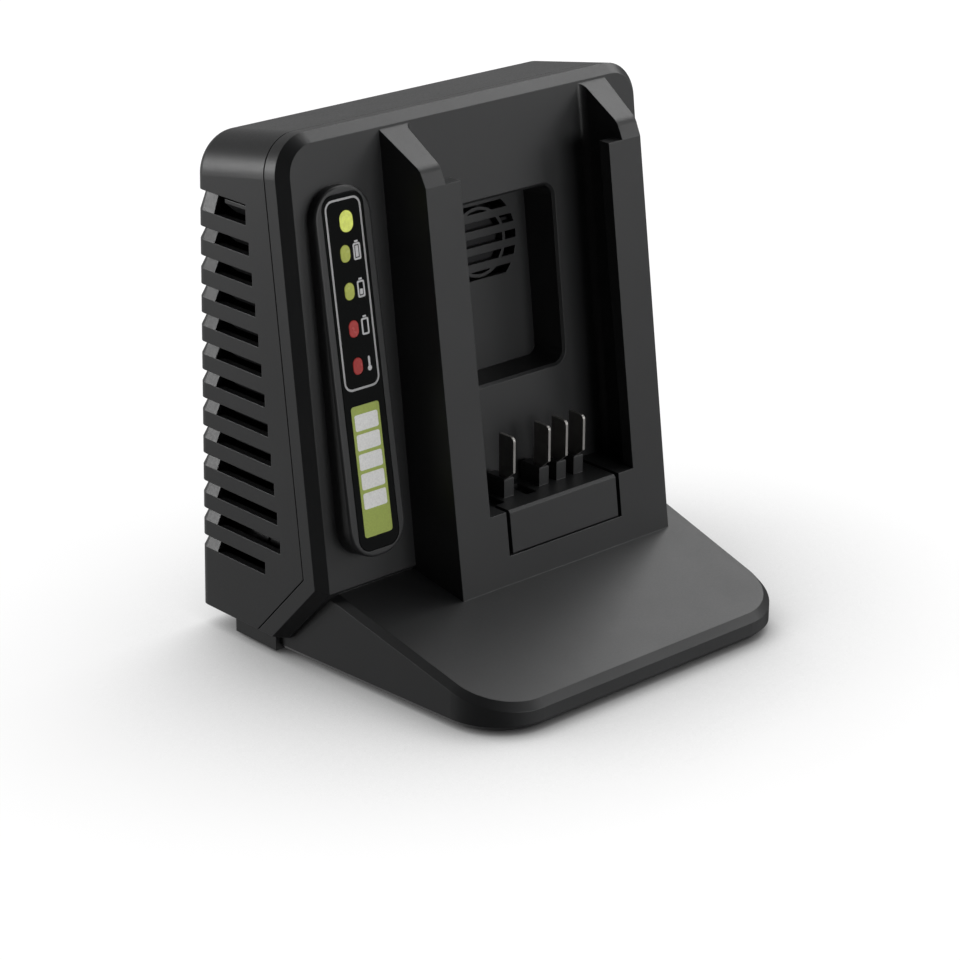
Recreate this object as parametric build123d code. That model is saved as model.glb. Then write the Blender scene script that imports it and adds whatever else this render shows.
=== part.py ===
"""Desktop battery charger: leaning louvred tower, battery dock on its front, wedge foot.

Millimetres. X runs to the right of someone facing the charger, Y to its back, Z up.
The origin lies on the table, under the middle of the charger.
"""
import os
from math import floor, hypot, pi, sin

from build123d import *

os.makedirs("parts", exist_ok=True)

# ---- Mouldings
WALL = 2.6              # wall of every housing moulding
FIT = 0.2               # gap between two mouldings that meet
STAND_OFF = 1.0         # the feet hold the base this far above the table

# ---- Tower: leaning slab, its outline given in the Y-Z plane
DEPTH = 137.2           # whole charger, front of the wedge to the tower's heel
TOWER_WIDTH = 157.0
TOWER_BOTTOM = 7.5      # lower edge of the tower's sides
FACE_FOOT = -0.1        # the front face meets the table line here
FACE_LEAN = 0.12        # and leans back this much for each millimetre up
REAR_LEAN = 0.029       # the rear face leans forward
TOP_HEIGHT = 182.5      # the sloping top, carried on to Y = 0; every "drop" is measured from it
TOP_SLOPE = 0.172
HEEL_FOOT = 32.2        # lower front corner, cut off by a plane that leans forward
HEEL_LEAN = 0.949
TOP_CORNER_R = 13.0
REAR_EDGE_R = 4.0
BEVEL = 3.4             # bevel round the front face
SEAM = 8.7              # the rear shell starts this far behind the face
SEAM_GAP = 0.4
TONGUE = 1.2            # thickness of the tongue that closes the seam inside
TONGUE_LENGTH = 3.0

# ---- Wedge foot in front of the tower
WEDGE_HEIGHT = 27.42    # its sloping top, carried on to Y = 0
WEDGE_SLOPE = 0.259
WEDGE_INSET = 6.28      # each side at Y = 0, in from the tower's side
WEDGE_TAPER = 0.059     # half width lost for each millimetre forward
WEDGE_END = 31.0
WEDGE_CORNER_R = 21.5
WEDGE_BEVEL = 2.2
WEDGE_FOOT_BEVEL = 2.0

# ---- Plinth under the tower
PLINTH_INSET = 2.7      # in from the tower's sides
PLINTH_SET_BACK = 16.2  # and from its rear face

# ---- Battery dock
DOCK_X = 12.0           # middle of the dock
DOCK_FOOT = -20.3       # its front plane, like the face
DOCK_LEAN = 0.134
DOCK_HALF = 47.7        # outer faces of the two walls, at the front
DOCK_DRAFT = 3.0        # each wall is this much wider outside at its root
BAY_HALF = 39.3         # inner faces of the two walls
LIP_HALF = 33.0         # half the gap between the lips
LIP_THICK = 4.5
LIP_DROP = 23.5
BAY_FLOOR = 47.65
BAY_CORNER_R = 2.5
GUSSET_FRONT_DROP = 18.0   # front end of each wall's sloping top
GUSSET_BACK_DROP = 7.8     # its end at the face
GUSSET_REACH = 2.0      # the slope starts this far behind the dock's front plane
GUSSET_R = 5.0

# ---- Window pocket and fan grille
POCKET_HALF = 22.85
POCKET_LOW = 82.8
POCKET_DROP = 38.6
POCKET_R = 4.5
POCKET_DEPTH = 13.5
POCKET_WALL = 2.4
POCKET_TAPER = 5.0      # degrees of draft
POCKET_EDGE = 0.8       # bevel round its mouth
GRILLE_DROP = 55.7      # middle of the round grille
GRILLE_R = 16.8
GRILLE_SLOTS = 5
GRILLE_PITCH = 5.6
GRILLE_SLOT = 2.8
GRILLE_RING_R = 11.4
GRILLE_RING = 1.2

# ---- Indicator pill
PILL_INSET = 20.0       # its middle, in from the tower's left side
PILL_FOOT = -9.3
PILL_LEAN = 0.155
PILL_WIDTH = 23.2
PILL_LOW = 41.5
PILL_DROP = 21.0
PILL_R = 10.5
PILL_EDGE_R = 1.0
PILL_WALL = 2.2
WINDOW_WIDTH = 16.6
WINDOW_RIM = 2.6        # the pill shows this much above and below the window
WINDOW_R = 4.5
WINDOW_THICK = 1.0
LABEL_WIDTH = 11.6
LABEL_RIM = 4.5         # from the window's lower end
LABEL_GAP = 12.5        # from the lowest light's middle
LABEL_THICK = 0.3
LABEL_R = 1.0
POWER_LIGHT_X = 1.0     # the first light, across from the pill's middle
POWER_LIGHT_RIM = 8.9   # its middle, below the window's upper end
POWER_LIGHT = (5.4, 6.9)
STATE_LIGHT_X = -0.8    # the smaller lights below it
STATE_LIGHT = (4.0, 5.5)
STATE_LIGHT_GAP = 10.0  # from the first light's middle
STATE_LIGHT_PITCH = 12.0
STATE_LIGHTS = 4
RED_LIGHTS = 2          # the lowest of them

# ---- Light board behind the pill
BOARD_THICK = 1.6
LED_BOARD_DEPTH = 7.2   # from the pill's face to the board
LED_BOARD_WIDTH = 15.0
LED_BOARD_RIM = 6.5     # beyond the first and the last light's middle
LED_BOARD_R = 1.0
LED_SIZE = 2.8
LED_TALL = 1.0
LED_SCREW_X = 5.6       # from the pill's middle
RIBBON_WIDTH = 5.0
RIBBON_THICK = 0.8

# ---- Louvres in the rear shell
LOUVRE_DROP = 33.0      # middle of the highest slot
LOUVRE_END = 29.0       # no slot's middle lies lower than this
LOUVRE_PITCH = 9.87
LOUVRE_HEIGHT = 4.4
LOUVRE_RAISE = 2.4      # the highest slot is this much taller
LOUVRE_FRONT = 19.3     # the slots' front ends, on a leaning line
LOUVRE_LEAN = 0.128
LOUVRE_CLEAR = 20.2     # but at least this far behind the cut corner
LOUVRE_BACK = 10.0      # the slots end this far ahead of the rear face
GROOVE = 2.2            # depth of the ramps round the rear corners
GROOVE_REACH = 9.0      # how far they run on to the rear face
VANE_REACH = 3.0        # slanted vane inside each slot
VANE_FALL = 3.9
VANE_THICK = 1.4
VANE_SHORT = 4.0        # it ends this far ahead of the slot's rear end
VANE_ROOT = 2.0         # and runs this far into the wall at its front end

# ---- Terminal block and its blades
BLOCK_HALF = 24.4
BLOCK_TALL = 14.45      # front plate, down from the bay floor
BLOCK_SIDE_GAP = 1.6    # open gap on each side of the front plate
BLOCK_GAP = 0.6
BLOCK_PLATE = 2.5
BLOCK_RIM = 0.8
BLADE_PITCH = 8.0
BLADE_PLACES = {"blade_positive": -2, "blade_temperature": 0, "blade_data": 1, "blade_negative": 2}
RECESS_PLACES = (-1.0, -2.8)    # in the same row: the place without a blade, and one beside it
BLADE_FRONT = -7.0
BLADE_DEPTH = 7.0
BLADE_THICK = 1.0
BLADE_RISE = 21.65      # above the bay floor
BLADE_TIP_R = 1.6       # rounded corner that a pack's contact slides on to
BLADE_SUNK = 11.65      # the root ends this far below the bay floor
TAIL = 2.0
BOSS_WIDTH = 4.4
BOSS_RISE = 6.65
BOSS_STEP = 2.5         # each boss starts this far behind its blade's front edge
ROOT_STEP = 0.8         # and the root this far behind the boss's front
FLOOR_RECESS = 1.6

# ---- Fan
FAN_SIZE = 40.0
FAN_THICK = 10.0
FAN_CORNER_R = 2.5
FAN_BORE_R = 18.8
FAN_HUB_R = 10.5
FAN_TIP_GAP = 0.6
FAN_SCREW_SPACING = 32.0
FAN_SCREW_DEPTH = 1.8   # blind holes in the pocket's back wall
FAN_STRUT = 2.6
FAN_STRUT_TURNS = (45.0, 135.0)    # degrees: the struts run from corner to corner
FAN_PLATE = 1.4         # the struts' thickness
FAN_BLADES = 7
FAN_PITCH = 38.0        # degrees between a blade and the fan's plane
SHAFT_R = 1.5
SHAFT_CLEARANCE = 0.05
BEARING_WALL = 1.6
BEARING_LENGTH = 5.0
FAN_LEAD_X = 8.0        # from the fan's middle
FAN_LEAD_R = 1.0

# ---- Main board and what stands on it
PCB_INSET = 21.5        # the board's sides, in from the tower's sides
PCB_FRONT = -15.0
PCB_SET_BACK = 7.8      # from the tower's rear face
PCB_HEIGHT = 12.0       # underside
POST_R = 3.2
POST_INSET = 5.0        # in from the board's edges, and from the plinth's back wall

CORE_GAP = 1.5          # between the transformer and the large capacitors
CORE_Y = 36.5
CORE_WIDTH = 40.0
CORE_DEPTH = 14.0
CORE_HEIGHT = 34.0
CORE_YOKE = 6.0
CORE_LEG = 12.0
BOBBIN_PROUD = 7.5      # the winding stands this far out of the core, front and back
BOBBIN_R = 5.0
FLANGE = 1.2
CHOKE_OFFSET = 6.0      # to the right of the large capacitors
CHOKE_AHEAD = 49.0      # ahead of the board's rear edge
CHOKE_R = 6.5           # middle of the ring's section
CHOKE_WIDTH = 5.4
CHOKE_TALL = 6.4
CHOKE_BEVEL = 1.4
BULK_INSET = 15.0       # large capacitors, in from the board's left edge
BULK_GAP = 0.5
BULK_R = 8.5
BULK_TALL = 32.0
OUTPUT_GAP = 1.5        # between the small capacitors, and from them to the transistors
OUTPUT_Y = 16.0
OUTPUT_R = 5.0
OUTPUT_TALL = 20.0
CAN_RIM = 0.7
CAN_PINCH = 3.0         # height of the pinch round each can
SINK_INSET = 21.0       # in from the board's right edge
SINK_Y = 27.0
SINK_LENGTH = 30.0
SINK_TALL = 40.0
SINK_BASE = 3.0
SINK_FIN = 1.4
SINK_FINS = 6
SINK_REACH = 10.0
DEVICE_SIZE = (4.5, 10.0, 15.5)
DEVICE_BEVEL = 0.5
DEVICE_LEG = 0.75
DEVICE_LEG_PITCH = 2.5
DEVICE_LIFT = 8.0
DEVICE_SPACING = 14.0
FUSE_OFFSET = -2.0      # across from the sink's base
FUSE_Y = 1.5
FUSE_R = 2.6
FUSE_CAP = 5.2          # length of each end cap
FUSE_LENGTH = 20.0
FUSE_LIFT = 5.0
CLIP_WIDTH = 4.2
CLIP_THICK = 0.5

# ---- Mains inlet on the back
INLET_X = 40.0
INLET_WIDTH = 20.0
INLET_TALL = 12.5
INLET_R = 3.0
INLET_DEPTH = 17.0
INLET_FLANGE = 2.0      # the flange is this much larger all round
INLET_FLANGE_THICK = 1.5
INLET_SET_BACK = 0.8
INLET_FOOT_BACK = 6.0   # its foot ends this far ahead of the socket's face
PIN_SPACING = 8.6
PIN_R = 1.2
PIN_LENGTH = 9.0
PIN_BEVEL = 0.6
INLET_HOLE_R = 4.3
INLET_WAIST = 6.4       # the figure-of-eight hole between its two rounds
INLET_HOLE_DEPTH = 12.0

# ---- Screws and feet
SCREW_R = 1.5
THREAD_FIT = 0.05       # between a screw and the hole it cuts its thread in
SCREW_HEAD_R = 2.8
SCREW_HEAD = 2.0
CROSS_LENGTH = 1.3      # cross recess, as shares of the head's radius
CROSS_WIDTH = 0.33
SCREW_BOSS_R = 4.0
HOUSING_SCREW_INSET = 13.5      # in from the tower's sides
HOUSING_SCREW_LOW = 35.0
HOUSING_SCREW_DROP = 17.5
HOUSING_SCREW_LENGTH = 14.0
BOSS_JOINT = 42.0       # the front and rear bosses meet on this plane
FRONT_SCREW_X = 38.0    # base screws under the wedge
FRONT_SCREW_AHEAD = 18.6        # behind the wedge's front
REAR_SCREW_INSET = 9.7  # base screws in the plinth, in from its sides and its back
BASE_SCREW_LENGTH = 9.0
FOOT_R = 6.0
FOOT_SUNK = 0.8
FRONT_FOOT_X = 52.0
FRONT_FOOT_BEHIND = 30.6        # behind the wedge's front
REAR_FOOT_INSET = 14.8  # in from the plinth's sides
REAR_FOOT_AHEAD = 28.6  # ahead of the plinth's back
SMALL_SCREW_R = 1.0
SMALL_HEAD_R = 1.9
SMALL_HEAD = 1.2

# ---- Worked out from the sizes above
BASE_TOP = STAND_OFF + WALL
WEDGE_FRONT = -DEPTH / 2
TOWER_SIDE = TOWER_WIDTH / 2
REAR_FOOT = DEPTH / 2 + REAR_LEAN * TOWER_BOTTOM
SEAM_BACK = SEAM + SEAM_GAP
WEDGE_HALF = TOWER_SIDE - WEDGE_INSET
PLINTH_HALF = TOWER_SIDE - PLINTH_INSET
PLINTH_BACK = REAR_FOOT - PLINTH_SET_BACK
LIP_TOP = TOP_HEIGHT - LIP_DROP
GUSSET_FRONT = TOP_HEIGHT - GUSSET_FRONT_DROP
GUSSET_BACK = TOP_HEIGHT - GUSSET_BACK_DROP
POCKET_HIGH = TOP_HEIGHT - POCKET_DROP
GRILLE_HEIGHT = TOP_HEIGHT - GRILLE_DROP
PILL_X = PILL_INSET - TOWER_SIDE
PILL_HIGH = TOP_HEIGHT - PILL_DROP
WINDOW_LOW = PILL_LOW + WINDOW_RIM
WINDOW_HIGH = PILL_HIGH - WINDOW_RIM
POWER_LIGHT_HEIGHT = WINDOW_HIGH - POWER_LIGHT_RIM
STATE_LIGHT_TOP = POWER_LIGHT_HEIGHT - STATE_LIGHT_GAP
LAST_LIGHT_HEIGHT = STATE_LIGHT_TOP - (STATE_LIGHTS - 1) * STATE_LIGHT_PITCH
LABEL_LOW = WINDOW_LOW + LABEL_RIM
LABEL_HIGH = LAST_LIGHT_HEIGHT - LABEL_GAP
LED_BOARD_LOW = LAST_LIGHT_HEIGHT - LED_BOARD_RIM
LED_BOARD_HIGH = POWER_LIGHT_HEIGHT + LED_BOARD_RIM
LED_SCREW_HEIGHTS = (LAST_LIGHT_HEIGHT + STATE_LIGHT_PITCH / 2, STATE_LIGHT_TOP + STATE_LIGHT_GAP / 2)
LOUVRE_TOP = TOP_HEIGHT - LOUVRE_DROP
BLOCK_LOW = BAY_FLOOR - BLOCK_TALL
BLADE_TOP = BAY_FLOOR + BLADE_RISE
BLADE_ROOT = BAY_FLOOR - BLADE_SUNK
BOSS_TOP = BAY_FLOOR + BOSS_RISE
PCB_HALF = TOWER_SIDE - PCB_INSET
PCB_BACK = REAR_FOOT - PCB_SET_BACK
PCB_TOP = PCB_HEIGHT + BOARD_THICK
POST_X = PCB_HALF - POST_INSET
POST_FRONT = PCB_FRONT + POST_INSET
POST_BACK = PLINTH_BACK - WALL - POST_INSET
BULK_X = BULK_INSET - PCB_HALF
BULK_PLACES = [(BULK_X, PCB_BACK - BULK_R), (BULK_X, PCB_BACK - 3 * BULK_R - BULK_GAP)]
CORE_X = BULK_X + BULK_R + CORE_GAP + CORE_WIDTH / 2
CHOKE_X = BULK_X + CHOKE_OFFSET
CHOKE_Y = PCB_BACK - CHOKE_AHEAD
SINK_X = PCB_HALF - SINK_INSET
OUTPUT_X = SINK_X - DEVICE_SIZE[0] - OUTPUT_GAP - OUTPUT_R
OUTPUT_PLACES = [(OUTPUT_X, OUTPUT_Y), (OUTPUT_X - 2 * OUTPUT_R - OUTPUT_GAP, OUTPUT_Y)]
FUSE_X = SINK_X + FUSE_OFFSET
FAR = 300.0             # reaches past every side of the charger


# ---- Lines and planes that several mouldings share
def face_y(z, depth=0.0):
    """Y of the tower's front face at height z, or of the plane depth behind it."""
    return FACE_FOOT + FACE_LEAN * z + depth * hypot(1, FACE_LEAN)


def heel_y(z, depth=0.0):
    """Y of the plane that cuts off the tower's lower front corner."""
    return HEEL_FOOT - HEEL_LEAN * z + depth * hypot(1, HEEL_LEAN)


def heel_corner(depth=0.0):
    """Height at which the face meets the cut corner, both moved in by depth."""
    spread = depth * (hypot(1, HEEL_LEAN) - hypot(1, FACE_LEAN))
    return (HEEL_FOOT - FACE_FOOT + spread) / (FACE_LEAN + HEEL_LEAN)


def rear_y(z, depth=0.0):
    """Y of the rear face at height z, or of the plane depth ahead of it."""
    return REAR_FOOT - REAR_LEAN * z - depth * hypot(1, REAR_LEAN)


def dock_y(z, depth=0.0):
    """Y of the dock's front plane at height z, or of the plane depth behind it."""
    return DOCK_FOOT + DOCK_LEAN * z + depth * hypot(1, DOCK_LEAN)


def wedge_z(y, depth=0.0):
    return WEDGE_HEIGHT + WEDGE_SLOPE * y - depth * hypot(1, WEDGE_SLOPE)


def leaning_plane(foot, lean, depth=0.0):
    """Plane facing the front, leaning back from foot on the table line, moved back by depth."""
    slant = hypot(1, lean)
    plane = Plane(origin=(0, foot, 0), x_dir=(1, 0, 0), z_dir=(0, -1 / slant, lean / slant))
    return plane.offset(-depth)


def face_plane(depth=0.0):
    return leaning_plane(FACE_FOOT, FACE_LEAN, depth)


def pill_plane(depth=0.0):
    return leaning_plane(PILL_FOOT, PILL_LEAN, depth)


def up(height, lean):
    """Distance along a leaning plane to a height above the table."""
    return height * hypot(1, lean)


def prism(points, half_width, middle=0.0):
    """Prism of an outline in Y and Z, half_width to each side of X = middle."""
    outline = make_face(Polyline(*points, close=True))
    return Pos(middle, 0, 0) * extrude(Plane.YZ * outline, half_width, both=True)


def box(x, y, z):
    """Box between the low and high values of x, y and z."""
    sizes = [high - low for low, high in (x, y, z)]
    return Pos(x[0], y[0], z[0]) * Box(*sizes, align=(Align.MIN, Align.MIN, Align.MIN))


def upright(radius, x, y, low, high):
    """Cylinder along Z."""
    return Pos(x, y, low) * Cylinder(radius, high - low, align=(Align.CENTER, Align.CENTER, Align.MIN))


def rearward(radius, x, z, front, back):
    """Cylinder along Y."""
    return extrude(Plane(origin=(x, front, z), z_dir=(0, 1, 0)) * Circle(radius), back - front)


def cross(radius, y, z, left, right):
    """Cylinder along X."""
    return extrude(Plane(origin=(left, y, z), z_dir=(1, 0, 0)) * Circle(radius), right - left)


def leaning_window(plane, lean, x, low, high, width, corner, depth, taper=0.0):
    """Rounded rectangle between two heights on a leaning plane, extruded back by depth."""
    tall = up(high - low, lean)
    shape = plane * (Pos(x, up((low + high) / 2, lean)) * RectangleRounded(width, tall, corner))
    return extrude(shape, -depth, taper=taper)


def facing_front(body):
    """The body's foremost face that looks to the front."""
    return body.faces().filter_by(lambda face: face.normal_at().Y < -0.9).sort_by(Axis.Y)[0]


def save(name, shape):
    export_step(shape, f"parts/{name}.step")


# ---- Tower
def tower(inset=0.0):
    """The tower's body with every wall moved in by inset."""
    crown = (TOP_HEIGHT - TOP_SLOPE * FACE_FOOT) / (1 + TOP_SLOPE * FACE_LEAN)
    rear_crown = (TOP_HEIGHT - TOP_SLOPE * REAR_FOOT) / (1 - TOP_SLOPE * REAR_LEAN)
    outline = make_face(Polyline(
        (face_y(heel_corner()), heel_corner()),
        (face_y(crown), crown),
        (rear_y(rear_crown), rear_crown),
        (rear_y(TOWER_BOTTOM), TOWER_BOTTOM),
        (heel_y(TOWER_BOTTOM), TOWER_BOTTOM),
        close=True,
    ))
    if inset:
        outline = offset(outline, -inset, kind=Kind.INTERSECTION)
    half = TOWER_SIDE - inset
    body = extrude(Plane.YZ * outline, half, both=True)
    top = body.faces().sort_by(Axis.Z)[-1]
    corners = top.edges().filter_by(lambda edge: abs(edge.center().X) > half / 2)
    body = fillet(corners, TOP_CORNER_R - inset)
    rear = body.faces().sort_by(Axis.Y)[-1]
    body = fillet(rear.edges().sort_by(Axis.Z)[1:], max(REAR_EDGE_R - inset, FIT))
    front = facing_front(body)
    heel = body.faces().filter_by(lambda face: face.normal_at().Z < -0.5 and face.normal_at().Y < -0.5)[0]
    sides = heel.edges().filter_by(lambda edge: abs(edge.center().X) > half / 2)
    rim = front.edges().sort_by(Axis.Z)[1:] + sides
    return chamfer(rim, BEVEL - inset * (2 - 2 ** 0.5))


def front_region(depth):
    """Everything ahead of the seam, which follows the face and the cut corner."""
    knee = heel_corner(depth)
    outline = [
        (-FAR, -FAR), (heel_y(-FAR, depth), -FAR), (face_y(knee, depth), knee),
        (face_y(FAR, depth), FAR), (-FAR, FAR),
    ]
    return prism(outline, FAR)


def tongue():
    """Ring inside the seam that laps both shells."""
    band = front_region(SEAM_BACK + TONGUE_LENGTH) - front_region(SEAM - TONGUE_LENGTH)
    outer = WALL + FIT
    ring = (tower(outer) - tower(outer + TONGUE)) & band
    root_band = front_region(SEAM) - front_region(SEAM - TONGUE_LENGTH)
    root = (tower(WALL - FIT) - tower(outer + TONGUE)) & root_band
    return (ring + root) & above_seam_floor()


def above_seam_floor():
    """The space above the tower's bottom wall, where the tongue may run."""
    floor = TOWER_BOTTOM + WALL + TONGUE_LENGTH + heel_corner()
    return box((-FAR, FAR), (-FAR, FAR), (floor, FAR))


# ---- Wedge foot
def wedge_plan(inset=0.0, end=WEDGE_END):
    """Plan of the wedge with rounded front corners."""
    front = WEDGE_FRONT + inset
    half_front = WEDGE_HALF + WEDGE_TAPER * front - inset
    half_end = WEDGE_HALF + WEDGE_TAPER * end - inset
    plan = make_face(Polyline(
        (-half_front, front), (half_front, front), (half_end, end), (-half_end, end), close=True,
    ))
    return fillet(plan.vertices().sort_by(Axis.Y)[:2], WEDGE_CORNER_R - inset)


def wedge(inset=0.0, low=STAND_OFF, end=WEDGE_END):
    """The wedge's body with every wall moved in by inset."""
    block = Pos(0, 0, low) * extrude(wedge_plan(inset, end), TOWER_BOTTOM + WEDGE_HEIGHT)
    under_top = prism(
        [(-FAR, wedge_z(-FAR, inset)), (FAR, wedge_z(FAR, inset)), (FAR, -FAR), (-FAR, -FAR * 2)], FAR,
    )
    body = block & under_top
    top = body.faces().filter_by(lambda face: 0.8 < face.normal_at().Z < 0.999)[0]
    rim = top.edges().filter_by(lambda edge: edge.center().Y < end - 1)
    return chamfer(rim, WEDGE_BEVEL - inset * (2 - 2 ** 0.5))


def wedge_outside():
    """The wedge with its lower edge bevelled too."""
    body = wedge()
    foot = body.faces().sort_by(Axis.Z)[0]
    return chamfer(foot.edges().filter_by(lambda edge: edge.center().Y < WEDGE_END - 1), WEDGE_FOOT_BEVEL)


# ---- Dock
def dock_body():
    """Block in front of the face, with drafted outer sides and sloping wall tops."""
    low = wedge_z(dock_y(0)) - WALL
    reach = dock_y(GUSSET_FRONT, GUSSET_REACH)
    shape = prism(
        [
            (dock_y(low), low),
            (dock_y(LIP_TOP), LIP_TOP),
            (reach, GUSSET_FRONT),
            (face_y(GUSSET_BACK), GUSSET_BACK),
            (face_y(GUSSET_BACK, WALL), GUSSET_BACK),
            (face_y(low, WALL), low),
        ],
        FAR, DOCK_X,
    )
    shoulder = shape.edges().filter_by(Axis.X).filter_by(
        lambda edge: abs(edge.center().Z - GUSSET_FRONT) < 0.1
    )
    shape = fillet(shoulder, GUSSET_R)
    root = face_y(0, WALL) - dock_y(0)
    half_root = DOCK_HALF + DOCK_DRAFT
    plan = make_face(Polyline(
        (DOCK_X - DOCK_HALF, dock_y(0)), (DOCK_X + DOCK_HALF, dock_y(0)),
        (DOCK_X + half_root, dock_y(0) + root), (DOCK_X - half_root, dock_y(0) + root), close=True,
    ))
    tall = up(FAR, DOCK_LEAN)
    return shape & extrude(plan, tall, dir=(0, DOCK_LEAN, 1))


def dock_hollows():
    """Hollows that leave each dock wall and the block under the bay floor as thin walls."""
    inside = face_y(0, 2 * WALL)
    low = wedge_z(dock_y(0)) - 2 * WALL
    ceiling = BAY_FLOOR - WALL
    cuts = prism(
        [
            (dock_y(low, WALL), low), (dock_y(ceiling, WALL), ceiling),
            (face_y(ceiling, 2 * WALL), ceiling), (inside + face_y(low) - face_y(0), low),
        ],
        DOCK_HALF - WALL, DOCK_X,
    )
    half = (DOCK_HALF - BAY_HALF) / 2 - WALL
    middle = (DOCK_HALF + BAY_HALF) / 2
    for side in (-1, 1):
        cuts += prism(
            [
                (dock_y(low, WALL), low),
                (dock_y(LIP_TOP - WALL, WALL), LIP_TOP - WALL),
                (dock_y(GUSSET_FRONT - WALL, WALL + GUSSET_REACH), GUSSET_FRONT - WALL),
                (face_y(GUSSET_BACK - WALL), GUSSET_BACK - WALL),
                (face_y(GUSSET_BACK - WALL, 2 * WALL), GUSSET_BACK - WALL),
                (face_y(low, 2 * WALL), low),
            ],
            half, DOCK_X + side * middle,
        )
    return cuts


def bay():
    """The space that a battery pack slides down into, with a groove behind each lip."""
    channel = prism(
        [
            (dock_y(BAY_FLOOR, LIP_THICK), BAY_FLOOR),
            (dock_y(LIP_TOP, LIP_THICK), LIP_TOP),
            (-FAR, LIP_TOP),
            (-FAR, FAR),
            (face_y(FAR), FAR),
            (face_y(BAY_FLOOR), BAY_FLOOR),
        ],
        BAY_HALF, DOCK_X,
    )
    back = channel.faces().filter_by(lambda face: face.normal_at().Y > 0.9)[0]
    corners = back.edges().filter_by(lambda edge: abs(edge.center().X - DOCK_X) > BAY_HALF / 2)
    channel = fillet(corners, BAY_CORNER_R)
    mouth = prism(
        [(-FAR, BAY_FLOOR), (-FAR, FAR), (face_y(FAR), FAR), (face_y(BAY_FLOOR), BAY_FLOOR)],
        LIP_HALF, DOCK_X,
    )
    return channel + mouth


def terminal_opening():
    """Cut-out for the terminal block, through the bay floor and down the block's front."""
    half = BLOCK_HALF + BLOCK_SIDE_GAP
    low = BLOCK_LOW - BLOCK_GAP
    return prism(
        [
            (-FAR, low), (dock_y(low, WALL + FIT), low),
            (dock_y(BAY_FLOOR - 2 * WALL, WALL + FIT), BAY_FLOOR - 2 * WALL),
            (face_y(BAY_FLOOR, -BLOCK_GAP), BAY_FLOOR - 2 * WALL),
            (face_y(BAY_FLOOR, -BLOCK_GAP), BAY_FLOOR + WALL), (-FAR, BAY_FLOOR + WALL),
        ],
        half, DOCK_X,
    )


def terminal_ledges():
    """Ledges under the bay floor that the terminal block rests on."""
    top = BAY_FLOOR - BLOCK_PLATE
    ledges = []
    for side in (-1, 1):
        inner = BLOCK_HALF - WALL / 2
        outer = BLOCK_HALF + BLOCK_SIDE_GAP + WALL
        span = sorted((DOCK_X + side * inner, DOCK_X + side * outer))
        back = face_y(BAY_FLOOR) - WALL
        ledges.append(box(span, (dock_y(top, WALL + 2 * FIT), back), (top - WALL, top)))
    return ledges


# ---- Pocket, grille and pill
def pocket():
    """The window pocket with the bevel round its mouth."""
    body = leaning_window(
        face_plane(), FACE_LEAN, DOCK_X, POCKET_LOW, POCKET_HIGH,
        2 * POCKET_HALF, POCKET_R, POCKET_DEPTH, POCKET_TAPER,
    )
    proud = POCKET_EDGE + FIT
    mouth = leaning_window(
        face_plane(-FIT), FACE_LEAN, DOCK_X, POCKET_LOW - proud, POCKET_HIGH + proud,
        2 * (POCKET_HALF + proud), POCKET_R + proud, proud, 45.0,
    )
    return body + mouth


def grille():
    """Slots in the pocket's back wall, inside a circle and crossed by a ring."""
    slots = Sketch()
    for number in range(GRILLE_SLOTS):
        across = (number - (GRILLE_SLOTS - 1) / 2) * GRILLE_PITCH
        slots += Pos(0, across) * Rectangle(2 * GRILLE_R, GRILLE_SLOT)
    ring = Circle(GRILLE_RING_R + GRILLE_RING / 2) - Circle(GRILLE_RING_R - GRILLE_RING / 2)
    shape = (Circle(GRILLE_R) & slots) - ring
    at_wall = face_plane(POCKET_DEPTH - FIT) * (Pos(DOCK_X, up(GRILLE_HEIGHT, FACE_LEAN)) * shape)
    return extrude(at_wall, -(POCKET_WALL + 2 * FIT))


def pill():
    """Raised island round the indicator strip."""
    body = leaning_window(
        pill_plane(), PILL_LEAN, PILL_X, PILL_LOW, PILL_HIGH, PILL_WIDTH, PILL_R, 5 * WALL,
    )
    return fillet(facing_front(body).edges(), PILL_EDGE_R)


def pill_hollow():
    depth = WINDOW_THICK + PILL_WALL
    return leaning_window(
        pill_plane(depth), PILL_LEAN, PILL_X, PILL_LOW + WALL, PILL_HIGH - WALL,
        PILL_WIDTH - 2 * WALL, PILL_R - WALL, 6 * WALL,
    )


def window_recess():
    return leaning_window(
        pill_plane(-WALL), PILL_LEAN, PILL_X, WINDOW_LOW - FIT, WINDOW_HIGH + FIT,
        WINDOW_WIDTH + 2 * FIT, WINDOW_R + FIT, WALL + WINDOW_THICK,
    )


def light_places():
    """Each light: across from the pill's middle, height, width, length."""
    places = [(POWER_LIGHT_X, POWER_LIGHT_HEIGHT, *POWER_LIGHT)]
    for number in range(STATE_LIGHTS):
        places.append((STATE_LIGHT_X, STATE_LIGHT_TOP - number * STATE_LIGHT_PITCH, *STATE_LIGHT))
    return places


def light(place, grow, front, back):
    """Rounded bar of one light between two depths behind the pill's face."""
    across, height, width, tall = place
    shape = Pos(PILL_X + across, up(height, PILL_LEAN)) * RectangleRounded(
        width + 2 * grow, tall + 2 * grow, (width + 2 * grow) / 2 - FIT / 2
    )
    return extrude(pill_plane(front) * shape, front - back)


# ---- Front housing
def housing_screw_places():
    """X and Z of the screws that hold the two shells together."""
    across = TOWER_SIDE - HOUSING_SCREW_INSET
    heights = (HOUSING_SCREW_LOW, TOP_HEIGHT - HOUSING_SCREW_DROP)
    return [(side * across, height) for side in (-1, 1) for height in heights]


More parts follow.
